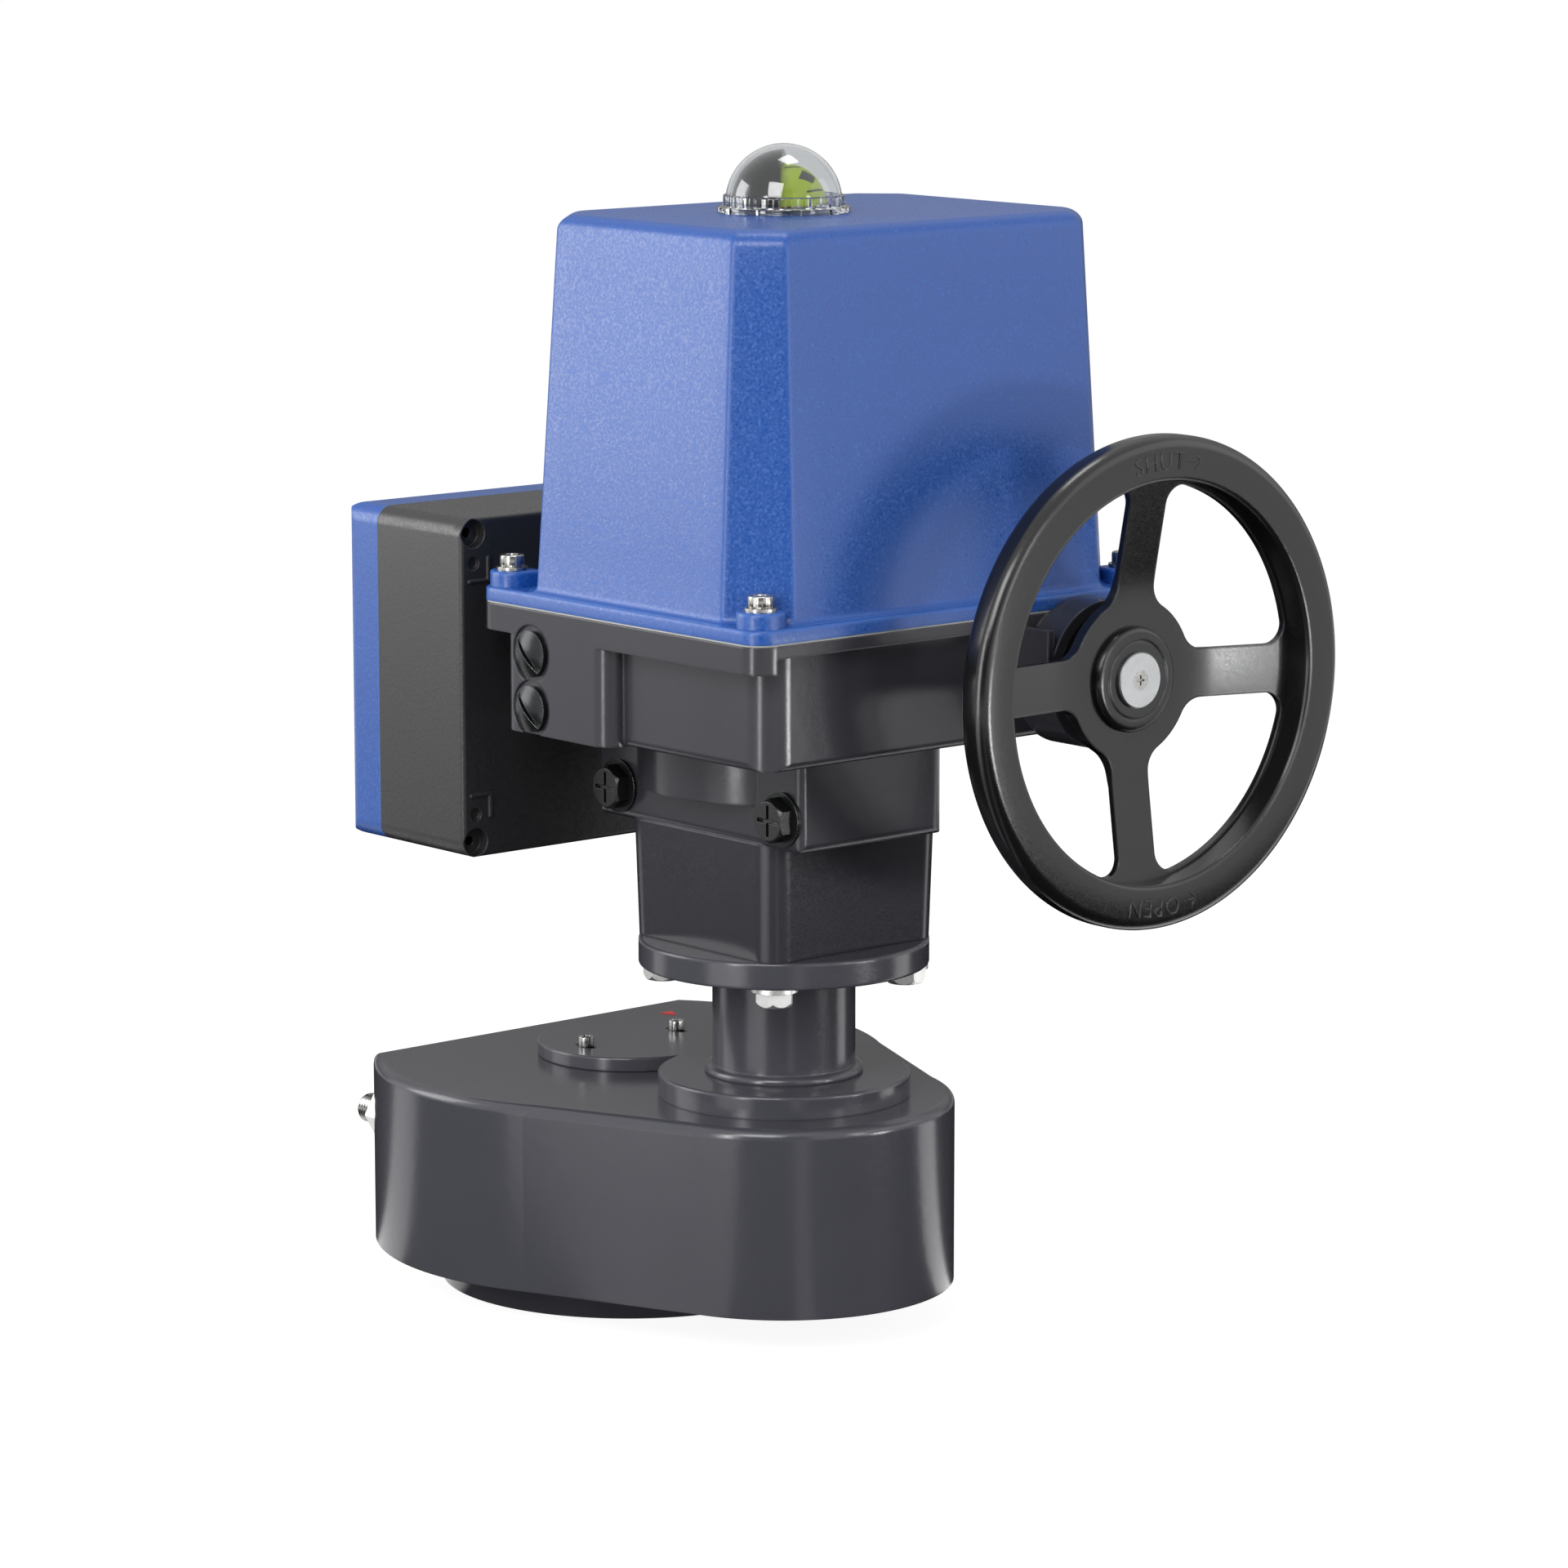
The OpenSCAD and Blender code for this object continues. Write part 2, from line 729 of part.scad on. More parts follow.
module gear_sector() {
  color("gray") difference() {
    union() {
      raise(sector_low, sector_high) intersection() {
        gear_2d(gear_module, sector_teeth);
        translate([sector_end - 2 * casing_r, sector_end - 2 * casing_r])
          square([2 * casing_r, 2 * casing_r]);
      }
      raise(base_top + 0.8, roof_low - 0.8) circle(r = sector_hub_r);
    }
    translate([0, 0, base_top]) cylinder(r = sleeve_r, h = roof_low - base_top);
  }
}

module output_sleeve() {
  color("gray") difference() {
    translate([0, 0, spigot_depth + 1]) cylinder(r = sleeve_r, h = disc_low - spigot_depth - 1);
    cylinder(r = stem_bore_r, h = spigot_depth + 1 + stem_bore_h);
    translate([0, -key_width / 2, 0])
      cube([stem_bore_r + 4.4, key_width, spigot_depth + 1 + stem_bore_h]);
    for (x = [-disc_screw_pitch_r, disc_screw_pitch_r])
      translate([x, 0, disc_low - 12]) cylinder(r = 2.5, h = 20);
  }
}

module position_disc() {
  color("dimgray") difference() {
    translate([0, 0, disc_low]) rotate_extrude() {
      square([disc_r, disc_h - 1]);
      square([disc_r - 1, disc_h]);
      translate([disc_r - 1, disc_h - 1]) circle(r = 1);
    }
    for (x = [-disc_screw_pitch_r, disc_screw_pitch_r])
      raise(disc_low - 1, disc_high + 1)
        rounded_rect(
          x - disc_slot_width / 2, x + disc_slot_width / 2,
          -disc_slot_length / 2, disc_slot_length / 2, disc_slot_width / 2 - 0.1
        );
  }
}

module disc_screws() {
  color("silver") for (x = [-disc_screw_pitch_r, disc_screw_pitch_r])
    translate([x, 0, 0]) difference() {
      union() {
        translate([0, 0, disc_high]) cylinder(r = disc_screw_r, h = disc_screw_h);
        translate([0, 0, disc_low - 11]) cylinder(r = 2.5, h = disc_h + 12);
      }
      translate([0, 0, disc_high + disc_screw_h - 3]) cylinder(r = 2.3, h = 4, $fn = 6);
    }
}

module column_foot() {
  color("dimgray") at_axis() rotate_extrude() difference() {
    union() {
      translate([0, casing_top]) square([column_foot_r, column_foot_h - column_edge]);
      translate([0, casing_top]) square([column_foot_r - column_edge, column_foot_h]);
      translate([column_foot_r - column_edge, foot_top - column_edge]) circle(r = column_edge);
    }
    translate([-20, casing_top - 1]) square([column_bore_r + 20, column_foot_h + 2]);
  }
}

// the tube stands on the foot plate with a bead round it, and carries the flange
module mounting_column() {
  color("dimgray") at_axis() rotate_extrude() difference() {
    union() {
      translate([0, foot_top]) square([column_r, flange_low - foot_top]);
      intersection() {
        translate([column_r + 1, foot_top + 1.2]) circle(r = column_bead);
        translate([0, foot_top]) square([column_r + 2 * column_bead, 2 * column_bead]);
      }
    }
    translate([-20, foot_top - 1]) square([column_bore_r + 20, flange_low - foot_top + 2]);
  }
}

module column_flange() {
  color("dimgray") at_axis() difference() {
    rotate_extrude() difference() {
      rounded_rect(-10, column_flange_r, flange_low, column_top, column_edge);
      translate([-20, flange_low - 1]) square([column_bore_r + 20, column_flange_h + 2]);
    }
    for (k = [0 : 3])
      rotate([0, 0, 45 + 90 * k])
        translate([actuator_pcd / 2, 0, flange_low - 1])
          cylinder(r = bolt_r + 0.75, h = column_flange_h + 2);
  }
}

module column_bolts() {
  color("silver") at_axis() for (k = [0 : 3])
    rotate([0, 0, 45 + 90 * k]) translate([actuator_pcd / 2, 0, 0]) {
      translate([0, 0, flange_low - bolt_washer_h])
        cylinder(r = bolt_washer_r, h = bolt_washer_h);
      intersection() {
        translate([0, 0, flange_low - bolt_washer_h - bolt_head_h])
          cylinder(r = bolt_flats / 2 / cos(30), h = bolt_head_h, $fn = 6);
        translate([0, 0, flange_low - bolt_washer_h - bolt_head_h])
          cylinder(r1 = bolt_flats / 2 - 0.2, r2 = bolt_flats / 2 + 12, h = bolt_head_h * 2.4);
      }
      translate([0, 0, flange_low - bolt_washer_h])
        cylinder(r = bolt_r, h = bolt_washer_h + column_flange_h + 22);
    }
}

module pinion_shaft() {
  color("gray") at_axis() {
    raise(sector_low - 2, sector_high + 2)
      rotate([0, 0, mesh_turn(sector_teeth, 0, -90, pinion_teeth)])
        gear_2d(gear_module, pinion_teeth);
    translate([0, 0, flange_h + 3]) cylinder(r = pinion_shaft_r, h = sector_low - flange_h - 4);
    translate([0, 0, sector_high + 1])
      cylinder(r = pinion_shaft_r + 3, h = casing_top + 4 - sector_high);
    translate([0, 0, casing_top])
      cylinder(r = pinion_shaft_r, h = bearing_high - casing_top + 6);
  }
}

module drive_sleeve() {
  color("gray") at_axis() difference() {
    union() {
      translate([0, 0, bearing_low - 2])
        cylinder(r = drive_r, h = parting + 9 - bearing_low + 2);
      translate([0, 0, bearing_high + 1]) cylinder(r = drive_r + 6, h = 6);
      translate([0, 0, parting + 9]) cylinder(r = 8, h = train_z - parting - 9);
      translate([0, 0, train_z]) cylinder(r = 5, h = indicator_width);
    }
    translate([0, 0, bearing_low - 3]) cylinder(r = pinion_shaft_r, h = bearing_high + 9 - bearing_low);
  }
}

module worm_wheel_tooth() {
  tip = worm_share * worm_lead / 2 - worm_module * tan(pressure_angle);
  root = worm_share * worm_lead / 2 + 1.2 * worm_module * tan(pressure_angle);
  polygon([
    [wheel_root_r - 3, -root], [wheel_root_r, -root], [wheel_tip_r, -tip],
    [wheel_tip_r, tip], [wheel_root_r, root], [wheel_root_r - 3, root]
  ]);
}

module worm_wheel() {
  color("goldenrod") translate([0, axis_y, hand_z]) difference() {
    union() {
      translate([0, 0, -worm_wheel_width / 2])
        cylinder(r = wheel_root_r, h = worm_wheel_width);
      translate([0, 0, -worm_wheel_width / 2 - 5]) cylinder(r = 34, h = worm_wheel_width + 10);
      intersection() {
        for (k = [0 : wheel_teeth - 1])
          rotate([0, 0, (k + 0.5) * 360 / wheel_teeth])
            rotate([-worm_lead_angle, 0, 0])
              linear_extrude(worm_wheel_width + 8, center = true) worm_wheel_tooth();
        tube(-worm_wheel_width / 2, worm_wheel_width / 2, wheel_tip_r, wheel_root_r - 2);
      }
    }
    translate([0, 0, -50]) cylinder(r = drive_r, h = 100);
    for (k = [0 : 5])
      rotate([0, 0, 60 * k]) translate([54, 0, -50]) cylinder(r = 12, h = 100);
  }
}

module main_bearings() {
  color("silver") at_axis() {
    tube(bearing_low, bearing_high, 2 * drive_r - 2, drive_r + running_gap);
    tube(chassis_low, chassis_high + 8, drive_r + 12, drive_r + running_gap);
  }
}

module foot_block() {
  hull() {
    for (x = [-1, 1])
      for (y = [-1, 1]) {
        translate([x * (foot_half - foot_corner), y * (foot_half - foot_corner), housing_low])
          cylinder(r = foot_corner, h = 0.1, $fn = 48);
        translate([x * (foot_half_top - foot_corner), y * (foot_half_top - foot_corner), housing_low + foot_h])
          cylinder(r = foot_corner, h = 0.1, $fn = 48);
      }
  }
}

module cross_block() {
  intersection() {
    raise(cross_z, case_low + 2) {
      rounded_rect(-foot_half_top, 0, -cross_half, cross_half, cross_corner_left);
      rounded_rect(-20, cross_right, -cross_half, cross_half, cross_corner);
    }
    along_y(-cross_half - 1, cross_half + 1) {
      rounded_rect(-foot_half_top, 0, cross_z, case_low + 12, 5);
      rounded_rect(-20, cross_right, cross_z, case_low + 12, 8);
    }
    along_x(-foot_half_top - 1, cross_right + 1)
      rounded_rect(-cross_half, cross_half, cross_z, case_low + 12, 5);
  }
}

module case_block() {
  intersection() {
    raise(case_low, parting)
      rounded_rect(-case_left, case_right, -case_half, case_half, case_corner);
    along_y(-case_half - 1, case_half + 1)
      rounded_rect(-case_left, case_right, case_low, parting + 12, 4);
    along_x(-case_left - 1, case_right + 1)
      rounded_rect(-case_half, case_half, case_low, parting + 12, 4);
  }
}

module band() {
  raise(band_side_low, parting)
    rounded_rect(-cover_left, cover_right, -cover_half, cover_half, cover_corner);
  intersection() {
    raise(band_low, parting)
      rounded_rect(-cover_left, cover_right, -cover_half, cover_half, cover_corner);
    translate([-cover_left - 1, -cover_half - 1, 0])
      cube([cover_left - case_left + 3, 2 * cover_half + 2, parting]);
  }
}

module entry_block() {
  raise(case_low, band_low + 1)
    rounded_rect(-entry_face, -case_left + 14, entry_near, entry_far, entry_corner);
}

module shaft_boss() {
  difference() {
    rod_y(hand_x, hand_z, -shaft_boss_front, -case_half + 2, shaft_boss_r);
    translate([hand_x - 60, -cover_half - face_gap, parting]) cube([120, 60, 60]);
  }
  translate([hand_x - shaft_boss_r - 1.7, -shaft_boss_front, hand_z - 12])
    cube([4, shaft_boss_front - case_half + 2, band_side_low - hand_z + 13]);
}

module case_hollow() {
  raise(floor_high, parting + 1)
    rounded_rect(
      -case_left + housing_wall, case_right - housing_wall,
      -case_half + housing_wall, case_half - housing_wall, case_corner - housing_wall + 1
    );
  raise(cross_z + housing_wall, floor_high + 1)
    rounded_rect(
      -foot_half_top + housing_wall, cross_right - housing_wall,
      -cross_half + housing_wall, cross_half - housing_wall, 5
    );
  translate([0, 0, round_low + housing_wall])
    cylinder(r = round_r - housing_wall, h = floor_high - round_low - housing_wall + 1);
  translate([0, 0, housing_low - 1]) cylinder(r = column_bore_r, h = 20);
  translate([0, 0, bearing_low]) cylinder(r = 2 * drive_r - 2, h = cross_z + housing_wall - bearing_low + 1);
}

module bearing_block(y0, y1) {
  raise(floor_high - 1, chassis_low) translate([hand_x - 21.5, y0]) square([43, y1 - y0]);
}

module chassis_boss(x, y) {
  translate([x, y, floor_high - 1]) cylinder(r = 6, h = chassis_low - floor_high + 1);
}

module actuator_housing() {
  color("dimgray") difference() {
    at_axis() {
      difference() {
        union() {
          foot_block();
          cross_block();
          translate([0, 0, round_low]) cylinder(r = round_r, h = case_low - round_low + 1);
          case_block();
          band();
          entry_block();
          shaft_boss();
          for (x = ear_xs)
            for (y = ear_ys)
              translate([x, y, band_low]) cylinder(r = 8, h = parting - band_low);
        }
        case_hollow();
        rod_x(-hex_plug_front, hex_plug_z, -foot_half_top - 1, -foot_half_top + housing_wall + 2, 6);
        rod_x(hex_plug_rear, hex_plug_z, -foot_half_top - 1, -foot_half_top + housing_wall + 2, 6);
        for (k = [0, 1])
          rod_x(entry_y, entry_z - k * entry_pitch, -entry_face - 1, -entry_face + entry_face_h, entry_face_r);
        for (k = [0, 1])
          rod_x(entry_y, entry_z - k * entry_pitch, -entry_face - 1, -case_left + housing_wall + 1, 9);
        rod_y(hand_x, hand_z, -shaft_boss_front - 1, -shaft_boss_front + shaft_recess_h, shaft_recess_r);
        rod_y(hand_x, hand_z, -shaft_boss_front - 1, -case_half + housing_wall + 1, worm_bush_r);
        for (x = ear_xs)
          for (y = ear_ys)
            translate([x, y, band_low + 3]) cylinder(r = cover_screw_r, h = 30);
        for (k = [0 : 3])
          rotate([0, 0, 45 + 90 * k])
            translate([actuator_pcd / 2, 0, housing_low - 1]) cylinder(r = bolt_r, h = 25);
        translate([0, case_half - housing_wall - 1, hand_z - 5])
          rotate([-90, 0, 0]) cylinder(r = 9, h = housing_wall + 3);
      }
      difference() {
        bearing_block(block_front - block_h - axis_y, block_front - axis_y);
        rod_y(hand_x, hand_z, block_front - block_h - 1 - axis_y, block_front + 1 - axis_y, worm_bush_r);
      }
      difference() {
        bearing_block(block_rear - block_h - axis_y, block_rear - axis_y);
        rod_y(hand_x, hand_z, block_rear - block_h - 1 - axis_y, block_rear + 1 - axis_y, worm_bush_r);
      }
      chassis_boss(-85, -88);
      chassis_boss(-85, 88);
      chassis_boss(50, -88);
      chassis_boss(34, 91);
    }
  }
}

module hex_plugs() {
  color("black") at_axis() for (y = [-hex_plug_front, hex_plug_rear]) {
    translate([-foot_half_top - hex_washer_h, y, hex_plug_z])
      rotate([0, -90, 0])
        difference() {
          intersection() {
            cylinder(r = hex_plug_flats / 2 / cos(30), h = hex_plug_h, $fn = 6);
            cylinder(r1 = hex_plug_flats / 2 + 9, r2 = hex_plug_flats / 2 - 0.2, h = hex_plug_h);
          }
          for (a = [0, 90])
            rotate([0, 0, a]) translate([-8, -1, hex_plug_h - 2]) cube([16, 2, 3]);
        }
    rod_x(y, hex_plug_z, -foot_half_top - hex_washer_h, -foot_half_top + housing_wall, 6);
  }
}

module hex_plug_washers() {
  color("silver") at_axis() for (y = [-hex_plug_front, hex_plug_rear])
    difference() {
      rod_x(y, hex_plug_z, -foot_half_top - hex_washer_h, -foot_half_top, hex_washer_r);
      rod_x(y, hex_plug_z, -foot_half_top - hex_washer_h - 1, -foot_half_top + 1, 6);
    }
}

module cable_plugs() {
  color("silver") at_axis() for (k = [0, 1])
    translate([-entry_face + entry_face_h, entry_y, entry_z - k * entry_pitch])
      rotate([0, -90, 0])
        difference() {
          union() {
            translate([0, 0, -10]) cylinder(r = 9, h = 10.5);
            cylinder(r = entry_plug_r, h = 2);
            intersection() {
              cylinder(r = entry_plug_r, h = 2 + entry_plug_h);
              translate([0, 0, 2 + entry_plug_h - 26]) sphere(r = 26);
            }
          }
          rotate([0, 0, 45]) translate([-20, -1.25, entry_plug_h - 1]) cube([40, 2.5, 10]);
        }
}

module hand_shaft_bush() {
  color("goldenrod") at_axis()
    tube_y(hand_x, hand_z, -shaft_boss_front + shaft_recess_h, -case_half + housing_wall,
      worm_bush_r, hand_shaft_r + running_gap);
}

module hand_shaft_seal() {
  color("black") at_axis()
    tube_y(hand_x, hand_z, -shaft_boss_front + 1.5, -shaft_boss_front + shaft_recess_h,
      shaft_recess_r, hand_shaft_r + running_gap);
}

module worm_bushes() {
  color("goldenrod") {
    tube_y(hand_x, hand_z, block_front - block_h, block_front, worm_bush_r, hand_shaft_r + running_gap);
    tube_y(hand_x, hand_z, block_rear - block_h, block_rear, worm_bush_r, hand_shaft_r + running_gap);
  }
}

function thread_radius(x) =
  max(worm_root_r, min(worm_tip_r, worm_pitch_r + (worm_share * worm_lead / 2 - x) / tan(pressure_angle)));

module worm_shaft() {
  steps = 36;
  color("gray") {
    translate([hand_x, axis_y - worm_length / 2, hand_z])
      rotate([-90, 0, 0])
        rotate([0, 0, -180 * worm_turns])
          linear_extrude(worm_length, twist = -360 * worm_turns, slices = ceil(14 * worm_turns), $fn = 12)
            polygon([
              for (i = [0 : steps - 1])
                polar(thread_radius(abs(i * 360 / steps - 180) / 360 * worm_lead), i * 360 / steps)
            ]);
    rod_y(hand_x, hand_z, dog_y - 1, axis_y - worm_length / 2 + 0.5, hand_shaft_r);
    rod_y(hand_x, hand_z, axis_y + worm_length / 2 - 0.5, gear_plane + motor_gear_width, hand_shaft_r);
    difference() {
      rod_y(hand_x, hand_z, dog_y - 8, dog_y, dog_r);
      rod_y(hand_x, hand_z, dog_y - 9, dog_y - 4, 8);
      translate([hand_x - 30, dog_y - 9, hand_z - 6]) cube([60, 5, 12]);
    }
  }
}

module worm_gear() {
  color("gray") difference() {
    along_y(gear_plane, gear_plane + motor_gear_width)
      translate([hand_x, hand_z])
        rotate([0, 0, idler_angle]) gear_2d(motor_module, worm_gear_teeth);
    rod_y(hand_x, hand_z, gear_plane - 1, gear_plane + motor_gear_width + 1, hand_shaft_r);
  }
}

module motor_idler() {
  color("gray") difference() {
    along_y(gear_plane, gear_plane + motor_gear_width)
      translate([idler_x, idler_z])
        rotate([0, 0, idler_turn]) gear_2d(motor_module, idler_teeth);
    rod_y(idler_x, idler_z, gear_plane - 1, gear_plane + motor_gear_width + 1, 5 + running_gap);
  }
}

module motor_gear() {
  color("gray") difference() {
    along_y(gear_plane, gear_plane + motor_gear_width)
      translate([motor_x, motor_z])
        rotate([0, 0, motor_turn]) gear_2d(motor_module, motor_teeth);
    rod_y(motor_x, motor_z, gear_plane - 1, gear_plane + motor_gear_width + 1, 6);
  }
}

module motor_bracket() {
  color("silver") {
    difference() {
      along_y(block_rear - 6, block_rear)
        rounded_rect(motor_x - bracket_r, motor_x + bracket_r, chassis_low, motor_z + bracket_r, 6);
      rod_y(motor_x, motor_z, block_rear - 7, block_rear + 1, 9);
    }
    rod_y(idler_x, idler_z, block_rear - 1, gear_plane + motor_gear_width, 5);
    rod_y(idler_x, idler_z, block_rear - 1, gear_plane - face_gap, 9);
  }
}

module motor_stator() {
  color("silver") difference() {
    union() {
      rod_y(motor_x, motor_z, block_rear - 6 - motor_length, block_rear - 6, motor_r);
    }
    rod_y(motor_x, motor_z, block_rear - motor_length, block_rear - 12, 22.5);
    rod_y(motor_x, motor_z, block_rear - motor_length - 4, block_rear, 6 + running_gap);
  }
}

module motor_rotor() {
  color("gray") {
    rod_y(motor_x, motor_z, block_rear - motor_length + 8, block_rear - 20, 22);
    rod_y(motor_x, motor_z, block_rear - motor_length - 3, gear_plane + motor_gear_width, 6);
  }
}

module indicator_drive_gear() {
  color("goldenrod") at_axis() raise(train_z, train_z + indicator_width) difference() {
    gear_2d(indicator_module, indicator_small);
    circle(r = 5);
  }
}

// the double gear stands to the left of the actuator axis
module indicator_idler() {
  color("goldenrod") at_axis() translate([-indicator_reach, 0, 0]) difference() {
    union() {
      raise(train_z, train_z + indicator_width)
        rotate([0, 0, mesh_turn(indicator_small, 0, 180, indicator_large)])
          gear_2d(indicator_module, indicator_large);
      raise(train_z + indicator_width - 1, train_z + train_step + indicator_width)
        gear_2d(indicator_module, indicator_small);
    }
    translate([0, 0, train_z - 1]) cylinder(r = pin_r + running_gap, h = 2 * train_step + 10);
  }
}

module indicator_bridge() {
  color("silver") at_axis() {
    difference() {
      raise(bridge_z, bridge_z + 4) rounded_rect(-62, 49, -12, 12, 6);
      translate([0, 0, bridge_z - 1]) cylinder(r = spindle_r + running_gap, h = 6);
    }
    for (x = [-55, 43])
      translate([x, 0, chassis_high]) cylinder(r = 4, h = bridge_z - chassis_high);
    translate([-indicator_reach, 0, chassis_high + 8])
      cylinder(r = 6, h = train_z - face_gap - chassis_high - 8);
    translate([-indicator_reach, 0, chassis_high + 8])
      cylinder(r = pin_r, h = bridge_z - chassis_high - 8);
  }
}

module indicator_spindle() {
  color("goldenrod") at_axis() {
    raise(train_z + train_step, train_z + train_step + indicator_width)
      rotate([0, 0, mesh_turn(indicator_small, 0, 0, indicator_large)])
        gear_2d(indicator_module, indicator_large);
    translate([0, 0, train_z + train_step]) cylinder(r = spindle_r, h = hood_top + 4 - train_z - train_step);
  }
}

module drum_half(turn, r, mid) {
  rotate([0, 0, turn]) intersection() {
    translate([0, 0, mid]) sphere(r = r);
    translate([-2 * r, 0, hood_top + 4]) cube([4 * r, 2 * r, 2 * r]);
  }
}

module indicator_drum() {
  color("black") at_axis() drum_half(45, drum_r, hood_top + dome_h - dome_r);
}

module indicator_flag() {
  color("yellow") at_axis() drum_half(225, flag_r, hood_top + flag_mid);
}

module chassis_plate() {
  color("silver") at_axis() difference() {
    union() {
      raise(chassis_low, chassis_high)
        rounded_rect(-case_left + housing_wall + 1, 60, -case_half + housing_wall + 1, 48, 4);
      raise(chassis_low, chassis_high)
        rounded_rect(-case_left + housing_wall + 1, 38, -case_half + housing_wall + 1, case_half - housing_wall - 1, 4);
      translate([0, 0, chassis_low]) cylinder(r = drive_r + 16, h = chassis_h + 8);
    }
    translate([0, 0, chassis_low - 1]) cylinder(r = drive_r + 12, h = chassis_h + 10);
  }
}

module control_board() {
  color("green") at_axis() {
    translate([-72, -70, chassis_high]) cube([board_h, board_long, board_tall]);
    translate([-72 - 14, -60, chassis_high + 70]) cube([14, 24, 20]);
    translate([-72 - 14, -30, chassis_high + 70]) cube([14, 24, 20]);
    translate([-72 - 8, 4, chassis_high + 60]) cube([8, 34, 34]);
    for (y = [-50, -30, -10])
      rod_x(y, chassis_high + 120, -72 + board_h, -72 + board_h + 18, 6);
  }
}

module terminal_block() {
  color("black") at_axis() difference() {
    translate([-93, -20, chassis_high]) cube([16, terminal_ways * 10, 22]);
    for (k = [0 : terminal_ways - 1])
      translate([-88, -15 + 10 * k, chassis_high + 10]) cylinder(r = 2.5, h = 20);
  }
}

module transformer() {
  color("gray") at_axis() {
    translate([-52, -88, chassis_high]) cube([60, 44, 12]);
    translate([-52, -88, chassis_high + 42]) cube([60, 44, 12]);
    translate([-47, -84, chassis_high + 12]) cube([50, 36, 30]);
  }
}

module hood_ring(grow, z, h, bevel) {
  lean = hood_lean * (z - ear_top + 4.6) / (hood_top - ear_top + 4.6);
  x0 = -hood_left - grow + lean;
  x1 = hood_right + grow - lean;
  y0 = -hood_front - grow + lean;
  y1 = hood_back + grow - lean;
  raise(z, z + h) polygon([
    [x0 + bevel, y0], [x1 - bevel, y0], [x1, y0 + bevel], [x1, y1 - bevel],
    [x1 - bevel, y1], [x0 + bevel, y1], [x0, y1 - bevel], [x0, y0 + bevel]
  ]);
}

// outer body of the hood: eight walls that lean in, with rounded top edges
module hood_body() {
  z = hood_top - hood_edge;
  x0 = -hood_left + hood_lean + hood_edge;
  x1 = hood_right - hood_lean - hood_edge;
  y0 = -hood_front + hood_lean + hood_edge;
  y1 = hood_back - hood_lean - hood_edge;
  b = hood_bevel_top - 0.586 * hood_edge;
  hull() {
    hood_ring(0, cover_flange_top, 0.1, hood_bevel);
    for (p = [
      [x0 + b, y0], [x1 - b, y0], [x1, y0 + b], [x1, y1 - b],
      [x1 - b, y1], [x0 + b, y1], [x0, y1 - b], [x0, y0 + b]
    ])
      translate([p[0], p[1], z]) sphere(r = hood_edge, $fn = 32);
  }
}

module hood_hollow() {
  hull() {
    hood_ring(-hood_wall, cover_low - 1, 0.1, hood_bevel - 0.586 * hood_wall);
    hood_ring(-hood_wall, hood_top - hood_wall - 4, 0.1, hood_bevel_top - 0.586 * hood_wall);
    hood_ring(-hood_wall - 4, hood_top - hood_wall, 0.1, hood_bevel_top - 0.586 * hood_wall);
  }
}

module top_cover() {
  color("royalblue") at_axis() difference() {
    union() {
      raise(cover_low, cover_flange_top)
        rounded_rect(-cover_left, cover_right, -cover_half, cover_half, cover_corner);
      hull() {
        hood_ring(3, cover_flange_top - 0.5, 0.5, hood_bevel);
        hood_ring(0, cover_flange_top + 3.4, 0.1, hood_bevel);
      }
      hood_body();
      raise(cover_flange_top - 2, ear_top) for (s = [-1, 1])
        for (t = [-1, 1]) {
          x = s < 0 ? -ear_left : ear_right;
          translate([x, t * ear_half]) circle(r = ear_r);
          translate([x, t * ear_half]) mirror([s < 0 ? 1 : 0, 0]) mirror([0, t < 0 ? 1 : 0]) {
            translate([-11, -11]) square([22, 11]);
            translate([-11, -11]) square([11, 22]);
          }
        }
    }
    difference() {
      hood_hollow();
      for (x = ear_xs)
        for (y = ear_ys)
          translate([x, y, cover_low - 2]) cylinder(r = ear_pocket + 6.5, h = ear_top + 10 - cover_low);
    }
    for (x = ear_xs)
      for (y = ear_ys) {
        translate([x, y]) raise(ear_top, ear_top + ear_pocket_h)
          rounded_rect(-ear_pocket, ear_pocket, -ear_pocket, ear_pocket, 5);
        translate([x, y, cover_low - 1]) cylinder(r = cover_screw_r + 0.5, h = 60);
      }
    translate([0, 0, hood_top - 12]) cylinder(r = 8, h = 20);
  }
}

module cover_seal() {
  color("white") at_axis() raise(parting, cover_low) difference() {
    rounded_rect(-cover_left + 0.4, cover_right - 0.4, -cover_half + 0.4, cover_half - 0.4, cover_corner);
    rounded_rect(
      -case_left + housing_wall, case_right - housing_wall,
      -case_half + housing_wall, hood_back - hood_wall, 8
    );
    for (x = ear_xs)
      for (y = ear_ys)
        translate([x, y]) circle(r = cover_screw_r + 0.5);
  }
}

module cover_screws() {
  color("silver") at_axis() for (x = ear_xs)
    for (y = ear_ys)
      translate([x, y, 0]) difference() {
        union() {
          translate([0, 0, ear_top + cover_washer_h]) cylinder(r = cover_head_r, h = cover_head_h);
          translate([0, 0, band_low + 4]) cylinder(r = cover_screw_r, h = ear_top - band_low - 2);
        }
        translate([0, 0, ear_top + cover_washer_h + cover_head_h - 4])
          cylinder(r = 3 / cos(30), h = 5, $fn = 6);
      }
}

module cover_washers() {
  color("silver") at_axis() for (x = ear_xs)
    for (y = ear_ys)
      translate([x, y, 0])
        tube(ear_top, ear_top + cover_washer_h, cover_washer_r, cover_screw_r);
}

